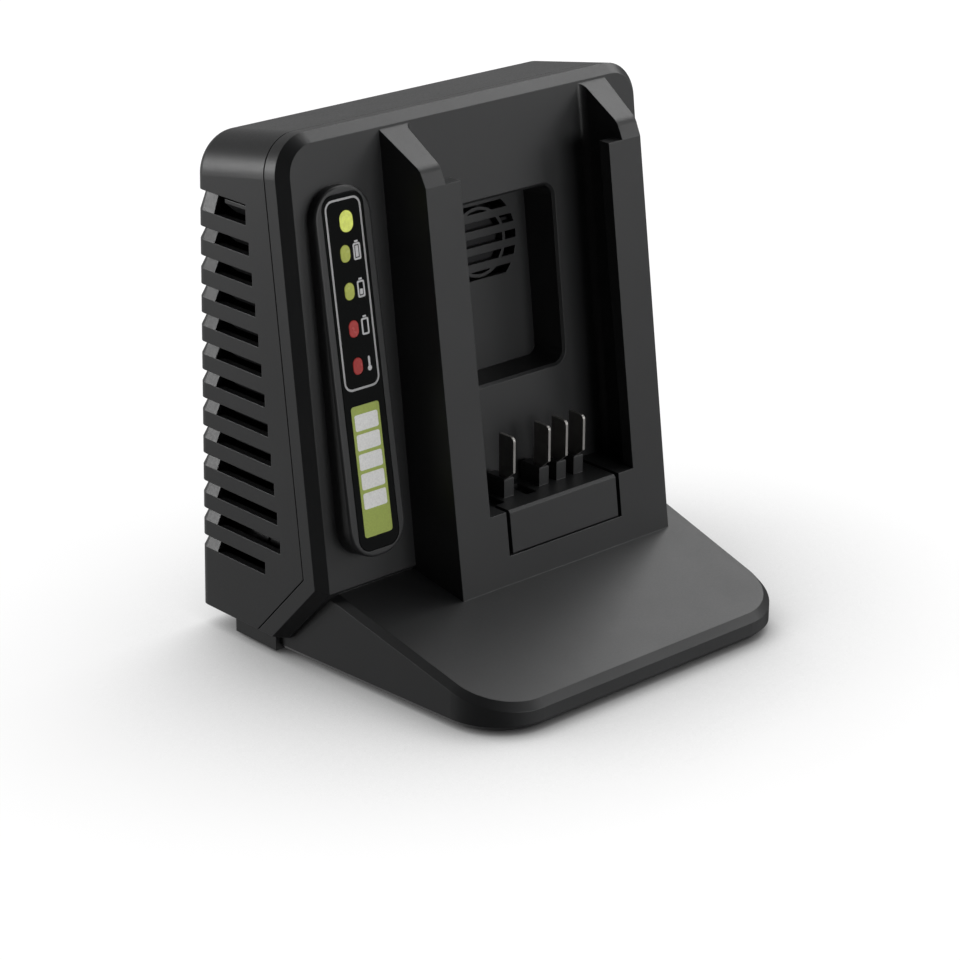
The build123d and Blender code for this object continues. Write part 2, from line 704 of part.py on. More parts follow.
def base_screw_places():
    """X and Y of the base screws: those under the wedge, and those in the plinth."""
    across = PLINTH_HALF - REAR_SCREW_INSET
    front = [(side * FRONT_SCREW_X, WEDGE_FRONT + FRONT_SCREW_AHEAD) for side in (-1, 1)]
    back = [(side * across, PLINTH_BACK - REAR_SCREW_INSET) for side in (-1, 1)]
    return front, back


def front_housing():
    outer = tower() + wedge_outside() + dock_body() + pill()
    under = wedge(WALL, -STAND_OFF, WEDGE_END + 4 * WALL)
    inner = tower(WALL) + under + dock_hollows() + pill_hollow()
    body = (outer - inner) & front_region(SEAM)
    body -= bay()
    body += leaning_window(
        face_plane(WALL / 2), FACE_LEAN, DOCK_X, POCKET_LOW - POCKET_WALL, POCKET_HIGH + POCKET_WALL,
        2 * (POCKET_HALF + POCKET_WALL), POCKET_R + POCKET_WALL, POCKET_DEPTH + POCKET_WALL - WALL / 2,
    )
    body -= pocket()
    body -= grille()
    body -= window_recess()
    body -= terminal_opening()
    for ledge in terminal_ledges():
        body += ledge
    for place in light_places():
        body -= light(place, FIT, 0, 3 * WALL)
    for height in LED_SCREW_HEIGHTS:
        body += led_post(height)
    body += tongue()
    for x, z in housing_screw_places():
        body += rearward(SCREW_BOSS_R, x, z, face_y(z) + WALL, BOSS_JOINT)
        body -= rearward(SCREW_R + THREAD_FIT, x, z, BOSS_JOINT - HOUSING_SCREW_LENGTH, BOSS_JOINT + FIT)
    for x, y in base_screw_places()[0]:
        body += upright(SCREW_BOSS_R, x, y, BASE_TOP, wedge_z(y) - WALL)
        body -= upright(SCREW_R + THREAD_FIT, x, y, 0, STAND_OFF + BASE_SCREW_LENGTH)
    for site in fan_screw_sites():
        hole = fan_plane(-FAN_SCREW_DEPTH) * (site * Circle(SCREW_R - FIT + THREAD_FIT))
        body -= extrude(hole, FAN_SCREW_DEPTH + FIT)
    return body


def led_post(height):
    """Post behind the pill's wall that carries the light board."""
    ring = Circle(SMALL_HEAD_R) - Circle(SMALL_SCREW_R + THREAD_FIT)
    shape = Pos(PILL_X + LED_SCREW_X, up(height, PILL_LEAN)) * ring
    front = WINDOW_THICK + PILL_WALL / 2
    return extrude(pill_plane(front) * shape, front - LED_BOARD_DEPTH)


# ---- Rear housing
def louvre_heights():
    """Middles of the slots from the top down, as many as there is room for."""
    count = floor((LOUVRE_TOP - LOUVRE_END) / LOUVRE_PITCH) + 1
    return [LOUVRE_TOP - number * LOUVRE_PITCH for number in range(count)]


def louvre_high(height):
    """Upper edge of the slot at this height; the highest slot is taller."""
    if height == LOUVRE_TOP:
        return height + LOUVRE_HEIGHT / 2 + LOUVRE_RAISE
    return height + LOUVRE_HEIGHT / 2


def louvre_front(height):
    clear = heel_y(height - LOUVRE_HEIGHT / 2, LOUVRE_CLEAR)
    return max(LOUVRE_FRONT + LOUVRE_LEAN * height, clear)


def louvre_slots():
    """Slots through both side walls."""
    slots = []
    for height in louvre_heights():
        front = louvre_front(height)
        back = rear_y(height, LOUVRE_BACK) + FIT
        low = height - LOUVRE_HEIGHT / 2
        for side in (-1, 1):
            span = sorted((side * (TOWER_SIDE - WALL - FIT), side * (TOWER_SIDE + FIT)))
            slots.append(box(span, (front, back), (low, louvre_high(height))))
    return slots


def corner_grooves():
    """Ramps that carry every slot round the rear corners, deepest at the slot's upper edge."""
    grooves = []
    for height in louvre_heights():
        high = louvre_high(height)
        tall = high - height + LOUVRE_HEIGHT / 2
        start = (TOWER_SIDE, rear_y(height, LOUVRE_BACK), high)
        path = FilletPolyline(
            start, (TOWER_SIDE, rear_y(height), high), (TOWER_SIDE - GROOVE_REACH, rear_y(height), high),
            radius=REAR_EDGE_R,
        )
        ramp = make_face(Polyline((-GROOVE, 0), (FIT, 0), (FIT, tall * (1 + FIT / GROOVE)), close=True))
        groove = sweep(Plane(origin=start, x_dir=(1, 0, 0), z_dir=(0, 1, 0)) * ramp, path)
        grooves += [groove, mirror(groove, Plane.YZ)]
    return grooves


def louvre_vanes():
    """Slanted vanes that hang inwards from the upper edge of every slot."""
    vanes = []
    root = TOWER_SIDE - WALL / 2
    tip = TOWER_SIDE - WALL - VANE_REACH
    for height in louvre_heights():
        high = height + LOUVRE_HEIGHT / 2
        front = louvre_front(height) - VANE_ROOT
        back = rear_y(height, LOUVRE_BACK) - VANE_SHORT
        for side in (-1, 1):
            outline = make_face(Polyline(
                (side * root, high), (side * root, high + VANE_THICK),
                (side * tip, high + VANE_THICK - VANE_FALL), (side * tip, high - VANE_FALL), close=True,
            ))
            vanes.append(extrude(Plane.XZ.offset(-front) * outline, front - back))
    return vanes


def rear_housing():
    body = (tower() - tower(WALL)) - front_region(SEAM_BACK)
    opening = POST_X + 2 * POST_R
    body -= box((-opening, opening), (0, PLINTH_BACK - WALL), (0, TOWER_BOTTOM + 2 * WALL))
    body -= corner_grooves()
    body -= louvre_slots()
    body += louvre_vanes()
    well = SCREW_HEAD_R + 2 * FIT
    for x, z in housing_screw_places():
        seat = BOSS_JOINT + FIT + WALL
        body += rearward(well + WALL / 2, x, z, BOSS_JOINT + FIT, rear_y(z) - WALL / 2)
        body -= rearward(well, x, z, seat, REAR_FOOT + WALL)
        body -= rearward(SCREW_R + FIT, x, z, BOSS_JOINT, seat)
    for x, y in base_screw_places()[1]:
        body += upright(SCREW_BOSS_R, x, y, TOWER_BOTTOM + WALL / 2, TOWER_BOTTOM + BASE_SCREW_LENGTH + WALL)
        body -= upright(SCREW_R + THREAD_FIT, x, y, 0, TOWER_BOTTOM + BASE_SCREW_LENGTH)
    return body - extrude(inlet_plane(-WALL) * inlet_outline(FIT), -3 * WALL)


# ---- Bottom cover, feet and screws
def feet_places():
    front = (FRONT_FOOT_X, WEDGE_FRONT + FRONT_FOOT_BEHIND)
    back = (PLINTH_HALF - REAR_FOOT_INSET, PLINTH_BACK - REAR_FOOT_AHEAD)
    return [(side * x, y) for side in (-1, 1) for x, y in (front, back)]


def bottom_cover():
    plate = Pos(0, 0, STAND_OFF) * extrude(wedge_plan(WALL + FIT, WEDGE_END + WALL), WALL)
    front = WEDGE_END + FIT
    high = TOWER_BOTTOM - FIT
    tray = box((-PLINTH_HALF, PLINTH_HALF), (front, PLINTH_BACK), (STAND_OFF, high))
    tray -= box((WALL - PLINTH_HALF, PLINTH_HALF - WALL), (front + WALL, PLINTH_BACK - WALL), (BASE_TOP, FAR))
    inner_half = WEDGE_HALF - 2 * WALL
    tray -= box((-inner_half, inner_half), (0, PLINTH_BACK - WALL), (BASE_TOP, FAR))
    body = plate + tray
    for x in (-POST_X, POST_X):
        for y in (POST_FRONT, POST_BACK):
            body += upright(POST_R, x, y, STAND_OFF + WALL / 2, PCB_HEIGHT)
            body -= upright(SMALL_SCREW_R + THREAD_FIT, x, y, BASE_TOP, PCB_HEIGHT + FIT)
    well = SCREW_HEAD_R + 2 * FIT
    for x, y in base_screw_places()[1]:
        body += upright(well + WALL / 2, x, y, STAND_OFF + WALL / 2, high)
    for x, y in base_screw_places()[0] + base_screw_places()[1]:
        body -= upright(well, x, y, 0, STAND_OFF + SCREW_HEAD / 2)
        body -= upright(SCREW_R + FIT, x, y, 0, TOWER_BOTTOM)
    for x, y in feet_places():
        body -= upright(FOOT_R + FIT / 2, x, y, 0, STAND_OFF + FOOT_SUNK)
    return body


def rubber_feet():
    feet = []
    for x, y in feet_places():
        foot = upright(FOOT_R, x, y, 0, STAND_OFF + FOOT_SUNK)
        feet.append(chamfer(foot.edges().sort_by(Axis.Z)[0], STAND_OFF / 2))
    return Compound(feet)


def screw(radius, length, head_radius, head):
    """Pan-head screw pointing down Z, the underside of its head at the origin."""
    shank = Cylinder(radius, length, align=(Align.CENTER, Align.CENTER, Align.MAX))
    cap = Cone(head_radius, head_radius - head / 3, head, align=(Align.CENTER, Align.CENTER, Align.MIN))
    for turn in (0, 90):
        slot = Box(CROSS_LENGTH * head_radius, CROSS_WIDTH * head_radius, head)
        cap -= Pos(0, 0, head) * Rot(0, 0, turn) * slot
    return shank + cap


def housing_screws():
    seat = BOSS_JOINT + FIT + WALL
    shape = screw(SCREW_R, HOUSING_SCREW_LENGTH, SCREW_HEAD_R, SCREW_HEAD)
    return Compound([Pos(x, seat, z) * Rot(-90, 0, 0) * shape for x, z in housing_screw_places()])


def bottom_screws():
    shape = Rot(180, 0, 0) * screw(SCREW_R, BASE_SCREW_LENGTH - SCREW_HEAD, SCREW_HEAD_R, SCREW_HEAD / 2)
    seat = STAND_OFF + SCREW_HEAD / 2
    front, back = base_screw_places()
    return Compound([Pos(x, y, seat) * shape for x, y in front + back])


# ---- Indicator strip
def indicator_window():
    body = leaning_window(
        pill_plane(), PILL_LEAN, PILL_X, WINDOW_LOW, WINDOW_HIGH, WINDOW_WIDTH, WINDOW_R, WINDOW_THICK,
    )
    for place in light_places():
        body -= light(place, FIT / 2, -FIT, WALL)
    body -= label_area(FIT / 2, WALL)
    return body


def label_area(grow, proud):
    return leaning_window(
        pill_plane(-proud), PILL_LEAN, PILL_X, LABEL_LOW - grow, LABEL_HIGH + grow,
        LABEL_WIDTH + 2 * grow, LABEL_R + grow, proud + LABEL_THICK,
    )


def light_guides(places):
    guides = []
    for place in places:
        guide = light(place, 0, 0, LED_BOARD_DEPTH - LED_TALL)
        guides.append(chamfer(facing_front(guide).edges(), FIT))
    return Compound(guides)


def led_board():
    body = leaning_window(
        pill_plane(LED_BOARD_DEPTH), PILL_LEAN, PILL_X, LED_BOARD_LOW, LED_BOARD_HIGH,
        LED_BOARD_WIDTH, LED_BOARD_R, BOARD_THICK,
    )
    for height in LED_SCREW_HEIGHTS:
        hole = Pos(PILL_X + LED_SCREW_X, up(height, PILL_LEAN)) * Circle(SMALL_SCREW_R + THREAD_FIT)
        body -= extrude(pill_plane(LED_BOARD_DEPTH - FIT) * hole, -2 * BOARD_THICK)
    return body


def indicator_leds():
    leds = []
    for across, height, _, _ in light_places():
        shape = Pos(PILL_X + across, up(height, PILL_LEAN)) * Rectangle(LED_SIZE, LED_SIZE)
        leds.append(extrude(pill_plane(LED_BOARD_DEPTH) * shape, LED_TALL))
    return Compound(leds)


def led_board_screws():
    shape = screw(SMALL_SCREW_R, LED_BOARD_DEPTH - WALL, SMALL_HEAD_R, SMALL_HEAD)
    back = pill_plane(LED_BOARD_DEPTH + BOARD_THICK)
    facing_back = Plane(origin=back.origin, x_dir=back.x_dir, z_dir=-back.z_dir)
    screws = []
    for height in LED_SCREW_HEIGHTS:
        place = Pos(PILL_X + LED_SCREW_X, -up(height, PILL_LEAN))
        screws.append(facing_back * (place * shape))
    return Compound(screws)


def ribbon_cable():
    """Flat cable down the back of the light board, on to the main board."""
    top = LED_BOARD_LOW + 2 * LED_SIZE
    front = PILL_FOOT + PILL_LEAN * top + (LED_BOARD_DEPTH + BOARD_THICK) * hypot(1, PILL_LEAN)
    right = PILL_X + LED_BOARD_WIDTH / 2
    return box((right - RIBBON_WIDTH, right), (front, front + RIBBON_THICK), (PCB_TOP, top))


# ---- Terminal block and blades
def place_x(place):
    """X of a place in the row of blades."""
    return DOCK_X + place * BLADE_PITCH


def boss_span(place):
    return place_x(place) - BOSS_WIDTH / 2, place_x(place) + BOSS_WIDTH / 2


def terminal_block():
    under = BAY_FLOOR - BLOCK_PLATE
    back = face_y(BAY_FLOOR, -BLOCK_GAP - FIT)
    body = prism(
        [
            (dock_y(BLOCK_LOW), BLOCK_LOW), (dock_y(BAY_FLOOR), BAY_FLOOR), (back, BAY_FLOOR),
            (back, under), (dock_y(under, BLOCK_PLATE), under), (dock_y(BLOCK_LOW, BLOCK_PLATE), BLOCK_LOW),
        ],
        BLOCK_HALF, DOCK_X,
    )
    rim = body.edges().filter_by(Axis.X).sort_by(lambda edge: edge.center().Y - edge.center().Z)[0]
    body = chamfer(rim, BLOCK_RIM)
    half = 2 * BLADE_PITCH + BOSS_WIDTH
    front = BLADE_FRONT + BOSS_STEP
    across = (DOCK_X - half, DOCK_X + half)
    body += box(across, (front, front + 2 * BOSS_WIDTH), (BLADE_ROOT, BAY_FLOOR - FIT))
    for place in BLADE_PLACES.values():
        boss = box(boss_span(place), (front, back - FIT), (BAY_FLOOR - FIT, BOSS_TOP))
        body += chamfer(boss.faces().sort_by(Axis.Z)[-1].edges(), FIT * 2)
    for place in RECESS_PLACES:
        body -= box(boss_span(place), (BLADE_FRONT, back - WALL), (BAY_FLOOR - FLOOR_RECESS, FAR))
    for place in BLADE_PLACES.values():
        body -= blade(place_x(place))
    return body


def blade(x):
    """Flat contact: tall blade, a root held in its boss, a tail down to the main board."""
    back = BLADE_FRONT + BLADE_DEPTH
    root = BLADE_FRONT + BOSS_STEP + ROOT_STEP
    outline = make_face(Polyline(
        (BLADE_FRONT, BLADE_TOP), (back, BLADE_TOP), (back, BLADE_ROOT),
        (root + TAIL, BLADE_ROOT), (root + TAIL, PCB_TOP), (root, PCB_TOP),
        (root, BOSS_TOP - FIT), (BLADE_FRONT, BOSS_TOP + BOSS_STEP), close=True,
    ))
    tip = outline.vertices().sort_by(lambda vertex: vertex.X - vertex.Y)[0]
    return Pos(x, 0, 0) * extrude(Plane.YZ * fillet(tip, BLADE_TIP_R), BLADE_THICK / 2, both=True)


# ---- Fan
def fan_plane(depth=0.0):
    """Fan's own plane: origin on its axis, Z pointing back into the tower, depth behind its front."""
    front = face_plane(POCKET_DEPTH + POCKET_WALL + depth)
    centre = front.from_local_coords((DOCK_X, up(GRILLE_HEIGHT, FACE_LEAN), 0))
    return Plane(origin=centre, x_dir=(1, 0, 0), z_dir=-front.z_dir)


def fan_screw_sites():
    half = FAN_SCREW_SPACING / 2
    return [Pos(x, y) for x in (-half, half) for y in (-half, half)]


def fan_frame():
    outline = RectangleRounded(FAN_SIZE, FAN_SIZE, FAN_CORNER_R) - Circle(FAN_BORE_R)
    for site in fan_screw_sites():
        outline -= site * Circle(SCREW_R + FIT / 2)
    body = extrude(outline, FAN_THICK)
    plate = Circle(FAN_HUB_R)
    for turn in FAN_STRUT_TURNS:
        plate += Rot(0, 0, turn) * Rectangle(2 * FAN_BORE_R + FIT, FAN_STRUT)
    body += Pos(0, 0, FAN_THICK - FAN_PLATE) * extrude(plate, FAN_PLATE)
    bore = SHAFT_R + SHAFT_CLEARANCE
    body += Pos(0, 0, FAN_THICK - BEARING_LENGTH) * extrude(Circle(bore + BEARING_WALL), BEARING_LENGTH)
    hole = extrude(Circle(bore), BEARING_LENGTH - FAN_PLATE / 2 + FIT)
    body -= Pos(0, 0, FAN_THICK - BEARING_LENGTH - FIT) * hole
    return fan_plane() * body


def fan_rotor():
    """Cup-shaped hub with its shaft and a ring of pitched blades."""
    low = 2 * FIT
    high = FAN_THICK - FAN_PLATE - 2 * FIT
    cup = Pos(0, 0, low) * extrude(Circle(FAN_HUB_R), high - low)
    cup = chamfer(cup.edges().sort_by(Axis.Z)[0], 2 * FIT)
    cup -= Pos(0, 0, low + FAN_PLATE) * extrude(Circle(FAN_HUB_R - FAN_PLATE), FAN_THICK)
    cup += Pos(0, 0, low + FAN_PLATE / 2) * extrude(Circle(SHAFT_R), high - low - FAN_PLATE / 2 - FIT)
    tip = FAN_BORE_R - FAN_TIP_GAP
    swept = Pos(0, 0, low) * extrude(Circle(tip) - Circle(FAN_HUB_R - FAN_PLATE / 2), high - low)
    chord = (high - low) / sin(FAN_PITCH * pi / 180)
    middle = (FAN_HUB_R + tip) / 2
    for number in range(FAN_BLADES):
        vane = Box(2 * (tip - middle) + FAN_PLATE, chord + FAN_PLATE, FAN_PLATE / 2)
        vane = Pos(middle, 0, (low + high) / 2) * Rot(FAN_PITCH, 0, 0) * vane
        cup += (Rot(0, 0, 360 * number / FAN_BLADES) * vane) & swept
    return fan_plane() * cup


def fan_screws():
    shape = screw(SCREW_R - FIT, FAN_THICK + FAN_SCREW_DEPTH - FIT, SCREW_HEAD_R - 2 * FIT, SCREW_HEAD)
    back = fan_plane(FAN_THICK)
    return Compound([back * (site * shape) for site in fan_screw_sites()])


def fan_lead():
    """Lead from the fan's lower edge down to the main board."""
    site = fan_plane(FAN_THICK / 2)
    foot = site.from_local_coords((0, 0, 0))
    lowest = foot.Z - FAN_SIZE / 2 / hypot(1, FACE_LEAN)
    y = foot.Y - FAN_SIZE / 2 * FACE_LEAN
    return upright(FAN_LEAD_R, DOCK_X + FAN_LEAD_X, y, PCB_TOP, lowest - FIT)


# ---- Main board
def main_circuit_board():
    body = box((-PCB_HALF, PCB_HALF), (PCB_FRONT, PCB_BACK), (PCB_HEIGHT, PCB_TOP))
    body = fillet(body.edges().filter_by(Axis.Z), WALL)
    for x in (-POST_X, POST_X):
        for y in (POST_FRONT, POST_BACK):
            body -= upright(SMALL_SCREW_R + FIT / 2, x, y, 0, FAR)
    return body


def board_screws():
    shape = screw(SMALL_SCREW_R, PCB_TOP - BASE_TOP - 2 * WALL, SMALL_HEAD_R, SMALL_HEAD)
    return Compound([Pos(x, y, PCB_TOP) * shape for x in (-POST_X, POST_X) for y in (POST_FRONT, POST_BACK)])


def transformer_core():
    half = CORE_WIDTH / 2
    outline = Rectangle(CORE_WIDTH, CORE_HEIGHT)
    side_leg = (CORE_WIDTH - CORE_LEG) / 4
    window = (CORE_WIDTH - CORE_LEG - side_leg * 2) / 2
    for side in (-1, 1):
        middle = side * (half - side_leg - window / 2)
        outline -= Pos(middle, 0) * Rectangle(window, CORE_HEIGHT - 2 * CORE_YOKE)
    at_middle = Plane.XZ.offset(-CORE_Y) * (Pos(CORE_X, PCB_TOP + CORE_HEIGHT / 2) * outline)
    return extrude(at_middle, CORE_DEPTH / 2, both=True)


def transformer_winding():
    """Bobbin and winding round the core's middle leg."""
    side_leg = (CORE_WIDTH - CORE_LEG) / 4
    width = CORE_WIDTH - 2 * side_leg - 2 * FIT
    depth = CORE_DEPTH + 2 * BOBBIN_PROUD
    tall = CORE_HEIGHT - 2 * CORE_YOKE - 2 * FIT
    flange = RectangleRounded(width, depth, BOBBIN_R / 2)
    winding = RectangleRounded(width - 2 * FLANGE, depth - 2 * FLANGE, BOBBIN_R)
    body = extrude(flange, tall)
    groove = Pos(0, 0, FLANGE) * extrude(flange - winding, tall - 2 * FLANGE)
    body -= groove
    body -= extrude(Rectangle(CORE_LEG + 2 * FIT, CORE_DEPTH + 2 * FIT), tall)
    return Pos(CORE_X, CORE_Y, PCB_TOP + CORE_YOKE + FIT) * body


def filter_choke():
    section = chamfer(Rectangle(CHOKE_WIDTH, CHOKE_TALL).vertices(), CHOKE_BEVEL)
    ring = revolve(Plane.XZ * (Pos(CHOKE_R, CHOKE_TALL / 2) * section), Axis.Z)
    return Pos(CHOKE_X, CHOKE_Y, PCB_TOP) * ring


def capacitor(radius, tall):
    """Radial can with bevelled rims and the pinch near its foot."""
    waist = radius - CAN_RIM
    outline = make_face(Polyline(
        (0, 0), (waist, 0), (radius, CAN_RIM), (radius, CAN_PINCH - CAN_RIM), (waist, CAN_PINCH),
        (radius, CAN_PINCH + CAN_RIM), (radius, tall - CAN_RIM), (waist, tall), (0, tall), close=True,
    ))
    return revolve(Plane.XZ * outline, Axis.Z)


def capacitors(places, radius, tall):
    return Compound([Pos(x, y, PCB_TOP) * capacitor(radius, tall) for x, y in places])


def heat_sink():
    """Extruded sink: a base plate with fins on its right side."""
    outline = Pos(SINK_BASE / 2, 0) * Rectangle(SINK_BASE, SINK_LENGTH)
    pitch = (SINK_LENGTH - SINK_FIN) / (SINK_FINS - 1)
    for number in range(SINK_FINS):
        across = (number - (SINK_FINS - 1) / 2) * pitch
        outline += Pos(SINK_BASE + SINK_REACH / 2, across) * Rectangle(SINK_REACH, SINK_FIN)
    return Pos(SINK_X, SINK_Y, PCB_TOP) * extrude(outline, SINK_TALL)


def power_transistors():
    """Flat packages against the sink, on three legs each."""
    thick, wide, tall = DEVICE_SIZE
    low = PCB_TOP + DEVICE_LIFT
    half = DEVICE_LEG / 2
    middle = SINK_X - thick / 2
    devices = []
    for side in (-1, 1):
        y = SINK_Y + side * DEVICE_SPACING / 2
        device = box((SINK_X - thick, SINK_X), (y - wide / 2, y + wide / 2), (low, low + tall))
        device = chamfer(device.faces().sort_by(Axis.X)[0].edges(), DEVICE_BEVEL)
        for number in (-1, 0, 1):
            across = y + number * DEVICE_LEG_PITCH
            leg = box((middle - half, middle + half), (across - half, across + half), (PCB_TOP, low + half))
            device += leg
        devices.append(device)
    return Compound(devices)


def fuse():
    """Glass tube between two end caps, lying along X."""
    height = PCB_TOP + FUSE_LIFT
    half = FUSE_LENGTH / 2
    waist = half - FUSE_CAP
    body = cross(FUSE_R - FIT, FUSE_Y, height, FUSE_X - half, FUSE_X + half)
    body += cross(FUSE_R, FUSE_Y, height, FUSE_X - half, FUSE_X - waist)
    return body + cross(FUSE_R, FUSE_Y, height, FUSE_X + waist, FUSE_X + half)


def fuse_clips():
    """A spring clip under each end cap of the fuse."""
    clips = []
    height = PCB_TOP + FUSE_LIFT
    outer = FUSE_R + CLIP_THICK
    for side in (-1, 1):
        middle = FUSE_X + side * (FUSE_LENGTH - FUSE_CAP) / 2
        span = (middle - CLIP_WIDTH / 2, middle + CLIP_WIDTH / 2)
        clip = box(span, (FUSE_Y - outer, FUSE_Y + outer), (PCB_TOP, height + FUSE_R / 2))
        clip -= cross(FUSE_R, FUSE_Y, height, span[0], span[1])
        clip -= box(span, (FUSE_Y - FUSE_R, FUSE_Y + FUSE_R), (height, FAR))
        clips.append(clip)
    return Compound(clips)


# ---- Mains inlet
def inlet_z():
    """Height of the inlet's middle: its body stands on the main board."""
    return PCB_TOP + INLET_TALL / 2 + INLET_FLANGE


def inlet_outline(grow=0.0):
    return RectangleRounded(INLET_WIDTH + 2 * grow, INLET_TALL + 2 * grow, INLET_R + grow)


def inlet_plane(depth=0.0):
    """Plane of the inlet's front, facing the back of the charger, moved in by depth."""
    y = rear_y(inlet_z(), INLET_SET_BACK) - depth
    return Plane(origin=(INLET_X, y, inlet_z()), x_dir=(-1, 0, 0), z_dir=(0, 1, 0))


def mains_inlet():
    """Two-pole socket: body, flange behind the wall, foot on the main board."""
    body = extrude(inlet_plane() * inlet_outline(), -INLET_DEPTH)
    flange = inlet_plane(WALL - INLET_SET_BACK + 2 * FIT) * inlet_outline(INLET_FLANGE)
    body += extrude(flange, -INLET_FLANGE_THICK)
    face = rear_y(inlet_z(), INLET_SET_BACK)
    side = INLET_WIDTH / 2
    body += box(
        (INLET_X - side, INLET_X + side), (face - INLET_DEPTH, face - INLET_FOOT_BACK), (PCB_TOP, inlet_z()),
    )
    hole = Rectangle(PIN_SPACING, INLET_WAIST)
    for side in (-1, 1):
        hole += Pos(side * PIN_SPACING / 2, 0) * Circle(INLET_HOLE_R)
    return body - extrude(inlet_plane() * hole, -INLET_HOLE_DEPTH)


def inlet_pins():
    pins = []
    hole_floor = inlet_plane(INLET_HOLE_DEPTH)
    for side in (-1, 1):
        pin = extrude(hole_floor * (Pos(side * PIN_SPACING / 2, 0) * Circle(PIN_R)), PIN_LENGTH)
        pins.append(chamfer(pin.edges().sort_by(Axis.Y)[-1], PIN_BEVEL))
    return Compound(pins)


# ---- All pieces
save("front_housing", front_housing())
save("rear_housing", rear_housing())
save("bottom_cover", bottom_cover())
save("rubber_feet", rubber_feet())
save("housing_screws", housing_screws())
save("bottom_screws", bottom_screws())
save("indicator_window", indicator_window())
save("label_panel", label_area(0.0, 0.0))
save("green_light_guides", light_guides(light_places()[:-RED_LIGHTS]))
save("red_light_guides", light_guides(light_places()[-RED_LIGHTS:]))
save("led_board", led_board())
save("indicator_leds", indicator_leds())
save("led_board_screws", led_board_screws())
save("ribbon_cable", ribbon_cable())
save("terminal_block", terminal_block())
for name, place in BLADE_PLACES.items():
    save(name, blade(place_x(place)))
save("fan_frame", fan_frame())
save("fan_rotor", fan_rotor())
save("fan_screws", fan_screws())
save("fan_lead", fan_lead())
save("main_circuit_board", main_circuit_board())
save("board_screws", board_screws())
save("transformer_core", transformer_core())
save("transformer_winding", transformer_winding())
save("filter_choke", filter_choke())
save("bulk_capacitors", capacitors(BULK_PLACES, BULK_R, BULK_TALL))
save("output_capacitors", capacitors(OUTPUT_PLACES, OUTPUT_R, OUTPUT_TALL))
save("heat_sink", heat_sink())
save("power_transistors", power_transistors())
save("fuse", fuse())
save("fuse_clips", fuse_clips())
save("mains_inlet", mains_inlet())
save("inlet_pins", inlet_pins())
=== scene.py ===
import math

import bmesh
import bpy
from mathutils import Matrix, Vector


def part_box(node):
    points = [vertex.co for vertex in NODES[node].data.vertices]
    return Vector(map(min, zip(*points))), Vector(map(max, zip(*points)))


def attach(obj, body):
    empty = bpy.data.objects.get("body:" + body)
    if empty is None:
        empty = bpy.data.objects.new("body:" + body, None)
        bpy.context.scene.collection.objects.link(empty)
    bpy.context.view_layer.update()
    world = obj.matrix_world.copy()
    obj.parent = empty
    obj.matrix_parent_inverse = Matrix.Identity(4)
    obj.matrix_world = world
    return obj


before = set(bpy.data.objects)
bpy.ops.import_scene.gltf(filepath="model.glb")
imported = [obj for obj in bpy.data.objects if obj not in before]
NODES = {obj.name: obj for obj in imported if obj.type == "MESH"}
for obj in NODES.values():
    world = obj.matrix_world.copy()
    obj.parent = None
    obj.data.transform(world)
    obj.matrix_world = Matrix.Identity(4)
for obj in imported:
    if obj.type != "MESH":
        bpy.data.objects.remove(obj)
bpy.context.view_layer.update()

# Lengths are in metres, apart from the camera's lens and sensor.

# ---- Camera --------------------------------------------------------------------------------------
CAMERA_AZIMUTH = math.radians(-42.394)
CAMERA_ELEVATION = math.radians(21.898)
CAMERA_ROLL = math.radians(0.256)
CAMERA_PLACE = (-0.64822, -0.69581, 0.43341)
CAMERA_LENS = 114.83        # millimetres
CAMERA_SENSOR = 36.0        # millimetres
CAMERA_NEAR = 0.05

# ---- Face of the indicator pill, as the CAD has it -----------------------------------------------
PILL_X = -0.0585            # its middle
PILL_FOOT = -0.0093         # Y of its face at the table
PILL_LEAN = 0.155           # that its face goes back for each metre up

# ---- Printed marks on the strip: heights are above the table -------------------------------------
INK_LIFT = 0.00002          # of the ink's underside above the face
INK_THICK = 0.00003
CORNER_STEPS = 6
WINDOW_LOW = 0.0965
WINDOW_HIGH = 0.1575
WINDOW_WIDTH = 0.0146
WINDOW_CORNER = 0.0032
WINDOW_LINE = 0.0007

ICON_ACROSS = 0.0038        # from the middle of the strip to the pictograms
ICON_TOP = 0.140
ICON_STEP = 0.012
ICON_LEVELS = (1.0, 0.5, 0.0)
CELL_WIDTH = 0.0030
CELL_TALL = 0.0054
CELL_CORNER = 0.0006
CELL_LINE = 0.0006
CELL_LEVEL_CORNER = 0.0002
CAP_SHARE = 0.45            # of the cell's width
CAP_TALL = 0.0006
CAP_RISE = 0.0005
CAP_CORNER = 0.0001
BULB_SIZE = 0.0017
BULB_CORNER = 0.00084
BULB_HEIGHT = 0.1025
STEM_WIDTH = 0.0008
STEM_TALL = 0.0032
STEM_HEIGHT = 0.1048

BAR_COUNT = 5
BAR_LOWEST = 0.06045
BAR_STEP = 0.0064
BAR_WIDTH = 0.0096
BAR_TALL = 0.0053
BAR_CORNER = 0.0007

